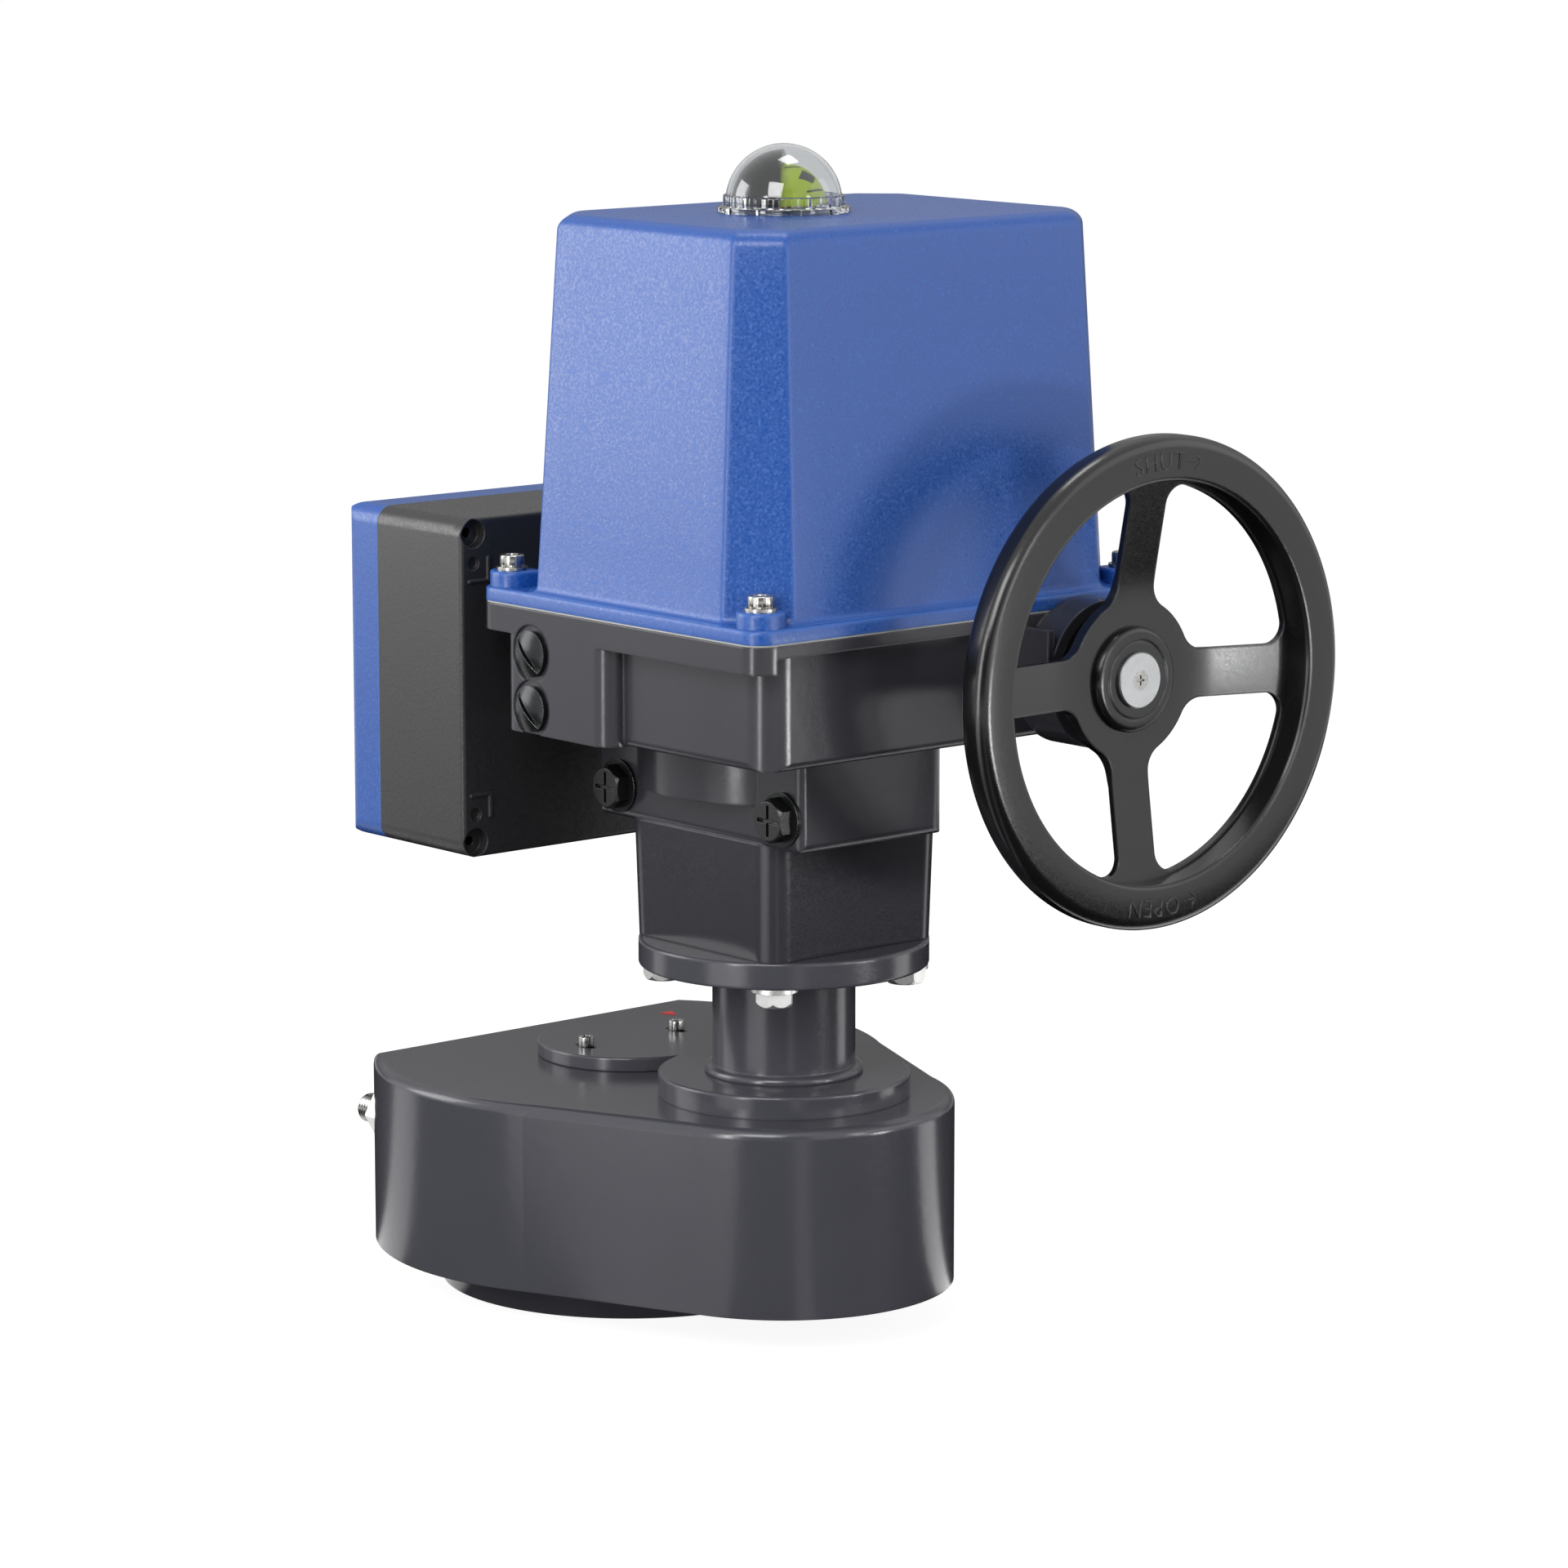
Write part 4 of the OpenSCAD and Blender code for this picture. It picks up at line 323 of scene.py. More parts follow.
flag_yellow = coated("yellow_green_moulded_abs", "#b9d30e", "#c8e01e", drift=0.04, grain_mm=0.5, grain=0.004,
                     rough=0.38, edge_mm=0.3)
tree = flag_yellow.node_tree
shader = next(n for n in tree.nodes if n.type == "BSDF_PRINCIPLED")
place = add(tree, "ShaderNodeTexCoord").outputs["Object"]
colour = shader.inputs["Base Color"].links[0].from_socket
for azimuth, latitude, wide, tall, power, ink in (
        (282.0, 46.0, 7.0, 4.6, 1.0, "#3a393c"), (262.0, 68.0, 5.0, 0.6, 4.0, "#22280a"),
        (284.0, 24.0, 7.0, 0.6, 4.0, "#22280a")):
    mask = printed_mark(tree, place, on_flag(azimuth, latitude), wide, tall, power)
    colour = add(tree, "ShaderNodeMix", {"data_type": "RGBA", 7: srgb(ink)}, {0: mask, 6: colour}).outputs[2]
tree.links.new(colour, shader.inputs["Base Color"])
print("printed marks drawn on", flag_yellow.name)

# %% [markdown]
# ## Which finish goes on which part
# A CAD part keeps its mesh and its place. Only what fills its material slots is
# changed, so the finish and the solid always agree.

# %% Assign the finishes
finishes = {
    cast_paint: ["actuator_housing", "battery_neck"],
    gearbox_paint: ["gearbox_housing", "gearbox_base", "output_flange", "mounting_column", "column_foot",
                    "column_flange", "position_disc"],
    powder_blue: ["top_cover", "battery_lid"],
    box_polyester: ["battery_box"],
    wheel_lacquer: ["handwheel"],
    black_nylon: ["hex_plugs", "terminal_block"],
    zinc_plate: ["column_bolts", "stop_nuts", "motor_bracket"],
    stainless: ["disc_screws", "cover_screws", "cover_washers", "stop_screws"],
    screw_steel: ["end_screw"],
    disc_steel: ["end_washer"],
    dark_plug: ["cable_plugs", "hex_plug_washers"],
    seal_rubber: ["hand_shaft_seal"],
    pale_gasket: ["cover_seal"],
    polycarbonate: ["dome_window"],
    drum_black: ["indicator_drum"],
    flag_yellow: ["indicator_flag"],
    warning_red: ["position_mark"],
    gear_steel: ["gear_sector", "output_sleeve", "pinion_shaft", "drive_sleeve", "worm_shaft", "worm_gear",
                 "motor_gear", "motor_idler", "motor_rotor", "transformer", "hand_shaft", "main_bearings"],
    bronze: ["output_bushes", "pinion_bushes", "worm_wheel", "worm_bushes", "hand_shaft_bush",
             "indicator_drive_gear", "indicator_idler", "indicator_spindle"],
    cast_aluminium: ["chassis_plate", "motor_stator", "indicator_bridge"],
    board_green: ["control_board", "charger_board"],
    shrink_wrap: ["battery_cells"],
}
for material, names in finishes.items():
    for name in names:
        mesh = nodes[name].data
        mesh.materials.clear()
        mesh.materials.append(material)
left_over = sorted(set(nodes) - {n for names in finishes.values() for n in names})
print("nodes without a finish:", left_over)

# %% [markdown]
# ## Surfaces worked out with numpy
# A grid of points with two parameters becomes a mesh of four-sided faces. Whole
# arrays hold the corners, so no loop visits a single point. Doubled points at
# poles and seams are merged, and only then are the faces turned outwards.

# %% Mesh helpers
def grid_faces(rows, columns):
    """Corner numbers of a grid closed round its columns: (i, j), (i, j+1), (i+1, j+1), (i+1, j)."""
    i, j = np.meshgrid(np.arange(rows - 1), np.arange(columns), indexing="ij")
    k = (j + 1) % columns
    return np.stack([i * columns + j, i * columns + k, (i + 1) * columns + k, (i + 1) * columns + j],
                    axis=-1).reshape(-1, 4)


def mesh_object(name, points, faces, material, sharp=35.0):
    """Object at the origin from an array of points in metres and an array of faces."""
    mesh = bpy.data.meshes.new(name)
    mesh.from_pydata(np.asarray(points, float).reshape(-1, 3), [], np.asarray(faces).tolist())
    shape = bmesh.new()
    shape.from_mesh(mesh)
    bmesh.ops.remove_doubles(shape, verts=shape.verts, dist=1e-6)
    bmesh.ops.dissolve_degenerate(shape, edges=shape.edges, dist=1e-7)
    bmesh.ops.recalc_face_normals(shape, faces=shape.faces)
    open_edges = sum(1 for e in shape.edges if len(e.link_faces) != 2)
    shape.to_mesh(mesh)
    shape.free()
    mesh.shade_smooth()
    mesh.set_sharp_from_angle(angle=math.radians(sharp))
    mesh.materials.append(material)
    piece = bpy.data.objects.new(name, mesh)
    bpy.context.scene.collection.objects.link(piece)
    print(f"{name}: {len(mesh.polygons)} faces, {open_edges} open edges")
    return piece


def turned(radii, heights, columns=96, wave=None):
    """Points of a turned shape: (r(v) cos u, r(v) sin u, h(v)). wave(u, v) is added to r."""
    u = np.linspace(0.0, 2.0 * np.pi, columns, endpoint=False)
    r = np.asarray(radii, float)[:, None] * np.ones(columns)
    if wave is not None:
        r = r + wave(u[None, :], np.arange(len(radii))[:, None])
    h = np.asarray(heights, float)[:, None] * np.ones(columns)
    return np.stack([r * np.cos(u), r * np.sin(u), h], axis=-1), grid_faces(len(radii), columns)


def arc(centre_r, centre_h, radius, start, end, steps=8):
    """Points of a circle arc in the profile plane, angles in degrees from the outward direction."""
    a = np.radians(np.linspace(start, end, steps))
    return np.stack([centre_r + radius * np.cos(a), centre_h + radius * np.sin(a)], axis=-1)


# %% [markdown]
# ## The blue hood
# The hood is die-cast and drafted: eight walls lean in towards the top, so that
# it leaves its mould, and every edge is rounded. One outline with eight rounded
# corners is carried up a profile: a fillet at the foot, the leaning wall, the
# big top radius, and the flat top, which ends at the hole under the dome. The
# inner wall goes back down, so the shell has its real thickness.

# %% Outline of the hood
AXIS_Y = -125.0
HOOD_FOOT, HOOD_TOP, LEAN = 383.0, 574.3, 11.3
HOOD_SIDES = (-107.7, 147.9, -103.9, 91.6)
BEVEL_FOOT, BEVEL_TOP, TOP_EDGE, FOOT_EDGE, WALL = 25.0, 18.4, 8.0, 3.4, 4.5
LEAN_FROM = 386.4


def octagon(inset, bevel, corner, z, steps=7, straight=10):
    """Rounded eight-sided outline. Corner k: its two walls are cut back by t = r tan(22.5 deg) and
    joined by an arc of radius r round q = p - r n(k) / cos(22.5 deg), n(k) halfway between the walls."""
    x0, x1, y0, y1 = (HOOD_SIDES[0] + inset, HOOD_SIDES[1] - inset,
                      HOOD_SIDES[2] + inset, HOOD_SIDES[3] - inset)
    p = np.array([[x1, y0 + bevel], [x1, y1 - bevel], [x1 - bevel, y1], [x0 + bevel, y1],
                  [x0, y1 - bevel], [x0, y0 + bevel], [x0 + bevel, y0], [x1 - bevel, y0]])
    middle_angle = np.radians(np.array([-22.5, 22.5, 67.5, 112.5, 157.5, 202.5, 247.5, 292.5]))
    normal = np.stack([np.cos(middle_angle), np.sin(middle_angle)], axis=-1)
    centre = p - corner * normal / math.cos(math.radians(22.5))
    sweep = middle_angle[:, None] + np.radians(np.linspace(-22.5, 22.5, steps))[None, :]
    curve = centre[:, None, :] + corner * np.stack([np.cos(sweep), np.sin(sweep)], axis=-1)
    share = (np.arange(1, straight) / straight)[None, :, None]
    line = curve[:, -1:, :] * (1 - share) + np.roll(curve, -1, axis=0)[:, :1, :] * share
    flat = np.concatenate([curve, line], axis=1).reshape(-1, 2)
    return np.column_stack([flat, np.full(len(flat), z)])


def wall_at(z):
    """Inset and bevel of the leaning wall at height z, both linear in z."""
    share = (z - LEAN_FROM) / (HOOD_TOP - LEAN_FROM)
    return LEAN * share, BEVEL_FOOT + (BEVEL_TOP - BEVEL_FOOT) * share


# %% The hood shell
rows = []
for angle in np.radians(np.linspace(0.0, 84.0, 7)):
    z = HOOD_FOOT + FOOT_EDGE * (1.0 - math.cos(angle))
    inset, bevel = wall_at(z)
    grow = FOOT_EDGE * (1.0 - math.sin(angle))
    rows.append(octagon(inset - grow, bevel, 4.0 + grow, z))
for z in np.linspace(HOOD_FOOT + FOOT_EDGE, HOOD_TOP - TOP_EDGE, 9):
    inset, bevel = wall_at(z)
    rows.append(octagon(inset, bevel, 4.0, z))
inset, bevel = wall_at(HOOD_TOP - TOP_EDGE)
for angle in np.radians(np.linspace(8.0, 90.0, 11)):
    cut = TOP_EDGE * (1.0 - math.cos(angle)) + 0.5 * math.sin(angle)
    height = HOOD_TOP - TOP_EDGE + TOP_EDGE * math.sin(angle)
    rows.append(octagon(inset + cut, bevel - 0.2 * cut, 4.0 + 0.25 * cut, height))
ring_angle = np.arctan2(rows[-1][:, 1], rows[-1][:, 0])
hole = np.stack([8.0 * np.cos(ring_angle), 8.0 * np.sin(ring_angle), np.full(len(ring_angle), HOOD_TOP)], axis=-1)
rows += [0.35 * hole + 0.65 * rows[-1], hole, hole - [0.0, 0.0, WALL]]
inset, bevel = wall_at(HOOD_TOP)
rows.append(octagon(inset + WALL + 5.0, bevel - 4.0, 3.0, HOOD_TOP - WALL))
inset, bevel = wall_at(HOOD_TOP - WALL - 5.0)
rows.append(octagon(inset + WALL, bevel - 2.6, 3.0, HOOD_TOP - WALL - 5.0))
inset, bevel = wall_at(400.0)
rows.append(octagon(inset + WALL, bevel - 2.6, 3.0, 400.0))
rows.append(octagon(WALL + 1.0, BEVEL_FOOT - 2.6, 3.0, HOOD_FOOT - 4.0))
rows.append(octagon(-2.0, BEVEL_FOOT - 2.0, 6.0, HOOD_FOOT - 4.0))
rows.append(rows[0] - [0.0, 0.0, 0.05])
points = np.stack(rows)
points = np.concatenate([points, points[:1]])
points[..., 1] += AXIS_Y
hood = mesh_object("hood_shell", points / 1000.0, grid_faces(len(points), points.shape[1]), powder_blue, 60.0)

# %% [markdown]
# ## The flange of the hood and its four screw pads
# Round its foot the hood has a plain flange, and each screw stands on a raised
# pad that grows out of the corner. Both are flat shapes with a rounded top edge,
# so one function lifts an outline to its height and rolls its edge over.

# %% Flange and pads
def rounded_box_outline(x0, x1, y0, y1, corners, steps=9):
    """Outline of a rectangle with a radius for each corner, anticlockwise from the lower right one."""
    parts = []
    for k, (sx, sy) in enumerate(((1, -1), (1, 1), (-1, 1), (-1, -1))):
        r = corners[k]
        centre = np.array([(x1 if sx > 0 else x0) - sx * r, (y1 if sy > 0 else y0) - sy * r])
        a = np.radians(np.linspace(-90.0 + 90.0 * k, 90.0 * k, steps))
        parts.append(centre + r * np.stack([np.cos(a), np.sin(a)], axis=-1))
    return np.concatenate(parts)


def plate_rows(outline, z0, z1, edge, steps=6):
    """Rows from the foot of a plate up over its rounded edge. The outline shrinks towards its middle."""
    middle = 0.5 * (outline.max(axis=0) + outline.min(axis=0))
    half = 0.5 * (outline.max(axis=0) - outline.min(axis=0))
    angles = np.radians(np.linspace(0.0, 90.0, steps))
    inset = np.concatenate([[0.0], edge * (1.0 - np.cos(angles))])
    height = np.concatenate([[z0], z1 - edge + edge * np.sin(angles)])
    scale = 1.0 - inset[:, None, None] / half[None, None, :]
    flat = middle + (outline - middle)[None] * scale
    return np.concatenate([flat, np.broadcast_to(height[:, None, None], (*flat.shape[:2], 1))], axis=-1)


outline = rounded_box_outline(-112.0, 159.0, -111.0, 111.0, (12.0, 12.0, 12.0, 12.0))
outer = plate_rows(outline, 375.8, 383.0, 1.6)
opening = rounded_box_outline(-93.0, 138.0, -97.0, 87.0, (8.0, 8.0, 8.0, 8.0))
inner = np.stack([np.column_stack([opening, np.full(len(opening), z)]) for z in (383.0, 375.8)])
flange = np.concatenate([outer, inner, outer[:1]])
flange[..., 1] += AXIS_Y
hood_flange = mesh_object("hood_flange", flange / 1000.0, grid_faces(len(flange), flange.shape[1]),
                          powder_blue, 40.0)

pads = []
for x, y in ((-99.0, -98.0), (146.0, -98.0), (146.0, 98.0), (-99.0, 98.0)):
    sx, sy = math.copysign(1.0, x), math.copysign(1.0, y)
    corner = {(1.0, -1.0): 0, (1.0, 1.0): 1, (-1.0, 1.0): 2, (-1.0, -1.0): 3}[(sx, sy)]
    radii = [9.6] * 4
    radii[corner] = 11.6
    radii[(corner + 2) % 4] = 2.5
    outline = rounded_box_outline(x - 11.4, x + 11.4, y - 11.4, y + 11.4, radii)
    top = plate_rows(outline, 376.5, 391.0, 1.4)
    bore = np.stack([np.column_stack([
        x + 4.5 * np.cos(np.arctan2(outline[:, 1] - y, outline[:, 0] - x)),
        y + 4.5 * np.sin(np.arctan2(outline[:, 1] - y, outline[:, 0] - x)),
        np.full(len(outline), z)]) for z in (391.0, 376.5)])
    pad = np.concatenate([top, bore, top[:1]])
    pad[..., 1] += AXIS_Y
    pads.append(mesh_object("hood_pad_%d" % len(pads), pad / 1000.0,
                            grid_faces(len(pad), pad.shape[1]), powder_blue, 40.0))
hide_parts("top_cover")
for piece in [hood, hood_flange, *pads]:
    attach(piece, "frame")

# %% [markdown]
# ## The clear dome
# The dome is one moulding: a foot ring with small lobes, an upright band whose
# ribs give the fingers a grip, and a half sphere. It is a turned profile whose
# radius also waves round the circle, out over the outside and back inside.

# %% Dome
DOME_FOOT, DOME_MID, DOME_R, DOME_WALL = 574.4, 579.2, 29.5, 1.3
outside = arc(0.0, DOME_MID, DOME_R, 8.0, 90.0, 26)
inside = arc(0.0, DOME_MID, DOME_R - DOME_WALL, 90.0, -8.0, 26)
profile = np.concatenate([
    [[27.2, DOME_FOOT], [33.6, DOME_FOOT]], arc(33.2, 576.9, 0.5, 0.0, 90.0, 4),
    [[31.2, 577.5], [30.8, 577.9]], arc(30.2, 582.4, 0.6, 0.0, 90.0, 4), [[29.6, 583.1]],
    outside, inside, [[27.2, DOME_FOOT]]])
lobes = (profile[:, 0] > 32.0)[:, None]
ribs = ((profile[:, 0] > 30.0) & (profile[:, 0] < 31.5) & (profile[:, 1] > 577.6))[:, None]


def dome_wave(u, v):
    """Twelve flat lobes on the foot ring and thirty ribs on the band above it, in millimetres."""
    return (-0.9 * (np.cos(12 * u) > 0.55) * lobes
            - 0.8 * (0.5 + 0.5 * np.tanh(6 * np.cos(30 * u))) * ribs)


dome_points, dome_faces = turned(profile[:, 0], profile[:, 1], 360, dome_wave)
dome_points[..., 1] += AXIS_Y
dome = mesh_object("clear_dome", dome_points / 1000.0, dome_faces, polycarbonate, 30.0)
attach(dome, "frame")
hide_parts("dome_window")

# %% [markdown]
# ## Socket head screws
# A socket head is knurled for the fingers and has a hexagon for the key. The
# hexagon is the same turned surface, with r = a / cos(u mod 60 - 30 degrees).

# %% Screws
def hex_radius(u, across):
    """Radius of a hexagon of that width across flats, in the direction u."""
    return 0.5 * across / np.cos(np.mod(u, np.pi / 3.0) - np.pi / 6.0)


def socket_screw(name, x, y, foot, head_r, head_h, key, shank_r, shank_low, body, columns=96):
    """Head, knurl and key hole as one closed surface on an upright axis."""
    edge = 0.12 * head_h
    r = [0.0, shank_r, shank_r, head_r - 0.2, head_r, head_r, head_r - 0.3 * edge, head_r - edge,
         0.5 * key + 0.5, 0.5 * key, 0.5 * key, 0.0]
    h = [shank_low, shank_low, foot, foot, foot + 0.2, foot + 0.75 * head_h, foot + head_h - 0.5 * edge,
         foot + head_h, foot + head_h, foot + head_h - 0.4, foot + 0.4 * head_h, foot + 0.34 * head_h]
    u = np.linspace(0.0, 2.0 * np.pi, columns, endpoint=False)
    radius = np.asarray(r)[:, None] * np.ones(columns)
    radius[4:6] -= 0.18 * (0.5 + 0.5 * np.cos(32 * u))
    radius[9:11] = hex_radius(u, key)
    points = np.stack([radius * np.cos(u) + x, radius * np.sin(u) + y,
                       np.asarray(h)[:, None] * np.ones(columns)], axis=-1)
    screw = mesh_object(name, points / 1000.0, grid_faces(len(r), columns), stainless, 30.0)
    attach(screw, body)
    return screw


cover_screws = [socket_screw("cover_screw_%d" % k, x, y + AXIS_Y, 392.8, 6.5, 6.0, 6.0, 3.9, 365.5, "frame")
                for k, (x, y) in enumerate(((-99.0, -98.0), (146.0, -98.0), (-99.0, 98.0), (146.0, 98.0)))]
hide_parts("cover_screws")
disc_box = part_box("disc_screws")
disc_screws = [socket_screw("disc_screw_%d" % k, x, 0.0, disc_box[1].z * 1000.0 - 5.5, 4.25, 5.5, 4.0, 2.45,
                            disc_box[0].z * 1000.0, "output") for k, x in enumerate((-31.0, 31.0))]
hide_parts("disc_screws")

# %% [markdown]
# ## Threaded stop screws
# The two screws on the back limit the stroke. A thread is a radius that depends
# on height and angle together: r = r0 - d * |2 frac(z / pitch - u / 2 pi) - 1|.

# %% Stop screws
STOP_R, PITCH, DEPTH = 8.0, 2.0, 1.1
stop_low, stop_high = (v.y * 1000.0 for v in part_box("stop_screws"))
heights = np.concatenate([[stop_low, stop_low], [stop_low + 0.1, 76.0],
                          np.arange(76.2, stop_high - 1.0, PITCH / 7.0), [stop_high - 1.0, stop_high, stop_high]])
u = np.linspace(0.0, 2.0 * np.pi, 48, endpoint=False)
saw = np.mod(heights[:, None] / PITCH - u[None, :] / (2.0 * np.pi), 1.0)
radius = np.full((len(heights), 48), STOP_R - 0.05)
thread = (heights[:, None] > 76.1) & (heights[:, None] < stop_high - 1.1)
radius = np.where(thread, STOP_R - 0.05 - DEPTH * np.abs(2.0 * saw - 1.0), radius)
radius[0], radius[-1], radius[-2], radius[-3] = 0.0, 0.0, STOP_R - 1.6, STOP_R - 0.6
for k, x in enumerate((-91.0, 91.0)):
    points = np.stack([x + radius * np.cos(u), np.broadcast_to(heights[:, None], radius.shape),
                       83.0 + radius * np.sin(u)], axis=-1)
    screw = mesh_object("stop_screw_%d" % k, points / 1000.0, grid_faces(len(heights), 48), stainless, 25.0)
    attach(screw, "frame")
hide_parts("stop_screws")

# %% [markdown]
# ## The handwheel
# The wheel is one die casting: a rounded rim, and a thin dished plate with four
# windows, so that four spokes are left. The plate is a turned surface with a
# smooth dish. The windows are flat outlines with a fillet in each corner, made
# into cutters and taken away by a Boolean, which leaves crisp edges for the
# bevel in the lacquer to round. Rim and hub are turned profiles.

# %% Window outline
WHEEL_X, WHEEL_Z, RIM_FACE, RIM_BACK, RIM_R, RIM_IN = 101.7, 343.3, -299.7, -282.0, 125.0, 102.0
SPOKE_HALF, PLATE_R, WINDOW_R, PLATE_FILLET, RIM_FILLET, SPOKE_TURN = 12.5, 41.0, 100.8, 14.0, 9.5, -1.7


def corner_arc(centre, radius, start, end, steps=10):
    """Arc from one angle to another, in degrees, either way round."""
    a = np.radians(np.linspace(start, end, steps))
    return np.stack([centre[0] + radius * np.cos(a), centre[1] + radius * np.sin(a)], axis=-1)


def window_outline(turn_deg):
    """Window between two spokes. A fillet of radius f that touches the spoke at height h and the
    plate circle R has its middle at (sqrt((R + f)^2 - (h + f)^2), h + f), or with R - f at the rim."""
    inner_high = SPOKE_HALF + PLATE_FILLET
    inner = (math.sqrt((PLATE_R + PLATE_FILLET) ** 2 - inner_high ** 2), inner_high)
    outer_high = SPOKE_HALF + RIM_FILLET
    outer = (math.sqrt((WINDOW_R - RIM_FILLET) ** 2 - outer_high ** 2), outer_high)
    to_inner = math.degrees(math.atan2(inner[1], inner[0]))
    to_outer = math.degrees(math.atan2(outer[1], outer[0]))
    half = np.concatenate([
        corner_arc((0.0, 0.0), PLATE_R, 45.0, to_inner, 8),
        corner_arc(inner, PLATE_FILLET, 180.0 + to_inner, 270.0, 12)[1:],
        corner_arc(outer, RIM_FILLET, 270.0, 360.0 + to_outer, 12),
        corner_arc((0.0, 0.0), WINDOW_R, to_outer, 45.0, 14)[1:]])
    other = half[::-1, ::-1][1:-1]
    flat = np.concatenate([half, other])
    a = math.radians(turn_deg)
    return flat @ np.array([[math.cos(a), math.sin(a)], [-math.sin(a), math.cos(a)]])


# %% Plate with its windows
def facing(points):
    """Turns a shape with its axis along z into the wheel's place: z becomes the way to the front."""
    x, y, z = np.moveaxis(np.asarray(points, float), -1, 0)
    return np.stack([WHEEL_X + x, -125.0 - z, WHEEL_Z + y], axis=-1) / 1000.0


dish_r = np.concatenate([[12.2, 18.0, 26.0], np.linspace(30.0, 56.0, 14), np.linspace(62.0, 104.0, 8)])
rise = 150.0 + 10.0 * np.clip((dish_r - 44.0) / 58.0, 0.0, 1.1)
rise = np.where(np.abs(dish_r - 44.0) < 14.0, 150.0 + 10.0 / 58.0 * (dish_r - 30.0) ** 2 / 56.0, rise)
thick = 7.5 - 4.0 * np.clip((dish_r - 34.0) / 22.0, 0.0, 1.0)
plate_front = np.stack([dish_r, rise], axis=-1)
plate_back = np.stack([dish_r, rise - thick], axis=-1)
plate_profile = np.concatenate([plate_front, plate_back[::-1]])
plate_profile = np.concatenate([plate_profile, plate_profile[:1]])
plate_points, plate_faces = turned(plate_profile[:, 0], plate_profile[:, 1], 180)
wheel_plate = mesh_object("wheel_plate", facing(plate_points), plate_faces, wheel_lacquer, 35.0)
for k in range(4):
    outline = window_outline(SPOKE_TURN + 90.0 * k)
    prism = np.stack([np.column_stack([outline, np.full(len(outline), z)]) for z in (130.0, 172.0)])
    n = len(outline)
    faces = grid_faces(2, n).tolist() + [list(range(n))[::-1], list(range(n, 2 * n))]
    cutter_mesh = bpy.data.meshes.new("window_cutter")
    cutter_mesh.from_pydata(facing(prism).reshape(-1, 3), [], faces)
    shape = bmesh.new()
    shape.from_mesh(cutter_mesh)
    bmesh.ops.recalc_face_normals(shape, faces=shape.faces)
    shape.to_mesh(cutter_mesh)
    shape.free()
    cutter = bpy.data.objects.new("window_cutter", cutter_mesh)
    bpy.context.scene.collection.objects.link(cutter)
    cut = wheel_plate.modifiers.new("window", "BOOLEAN")
    cut.operation, cut.solver, cut.object = "DIFFERENCE", "EXACT", cutter
    bpy.context.view_layer.update()
    done = bpy.data.meshes.new_from_object(wheel_plate.evaluated_get(bpy.context.evaluated_depsgraph_get()))
    wheel_plate.modifiers.clear()
    wheel_plate.data = done
    bpy.data.objects.remove(cutter)
wheel_plate.data.shade_smooth()
wheel_plate.data.set_sharp_from_angle(angle=math.radians(35.0))
wheel_plate.data.materials.clear()
wheel_plate.data.materials.append(wheel_lacquer)
print("wheel plate:", len(wheel_plate.data.polygons), "faces after its windows")

# %% Rim and hub
RIM_HIGH, RIM_LOW, RIM_EDGE = -RIM_FACE - 125.0, -RIM_BACK - 125.0, 6.0
rim_profile = np.concatenate([
    arc(RIM_R - RIM_EDGE, RIM_HIGH - RIM_EDGE, RIM_EDGE, 0.0, 90.0, 12),
    arc(RIM_IN + 2.5, RIM_HIGH - 2.5, 2.5, 90.0, 180.0, 8),
    arc(RIM_IN + 1.5, RIM_LOW + 1.5, 1.5, 180.0, 270.0, 6),
    arc(RIM_R - RIM_EDGE, RIM_LOW + RIM_EDGE, RIM_EDGE, -90.0, 0.0, 12)])
rim_profile = np.concatenate([rim_profile, rim_profile[:1]])
rim_points, rim_faces = turned(rim_profile[:, 0], rim_profile[:, 1], 240)
wheel_rim = mesh_object("wheel_rim", facing(rim_points), rim_faces, wheel_lacquer, 35.0)
hub_profile = np.concatenate([
    [[12.2, 133.4], [12.2, 154.5], [19.4, 154.5]], arc(20.0, 154.5, 0.6, 180.0, 360.0, 7), [[21.0, 154.5]],
    arc(24.0, 151.5, 3.0, 90.0, 0.0, 8), [[27.0, 148.0], [27.0, 133.4], [12.2, 133.4]]])
hub_points, hub_faces = turned(hub_profile[:, 0], hub_profile[:, 1], 120)
wheel_hub = mesh_object("wheel_hub", facing(hub_points), hub_faces, wheel_lacquer, 35.0)
for piece in (wheel_plate, wheel_rim, wheel_hub):
    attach(piece, "handwheel")
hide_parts("handwheel")

# %% [markdown]
# ## Words cast into the rim
# The rim says which way closes and which way opens the valve, with an arrow.
# The letters stand a quarter of a millimetre proud. They are flat text, bent
# round the rim: a point (x, y) of the text goes to radius R + y, angle a - x / R.

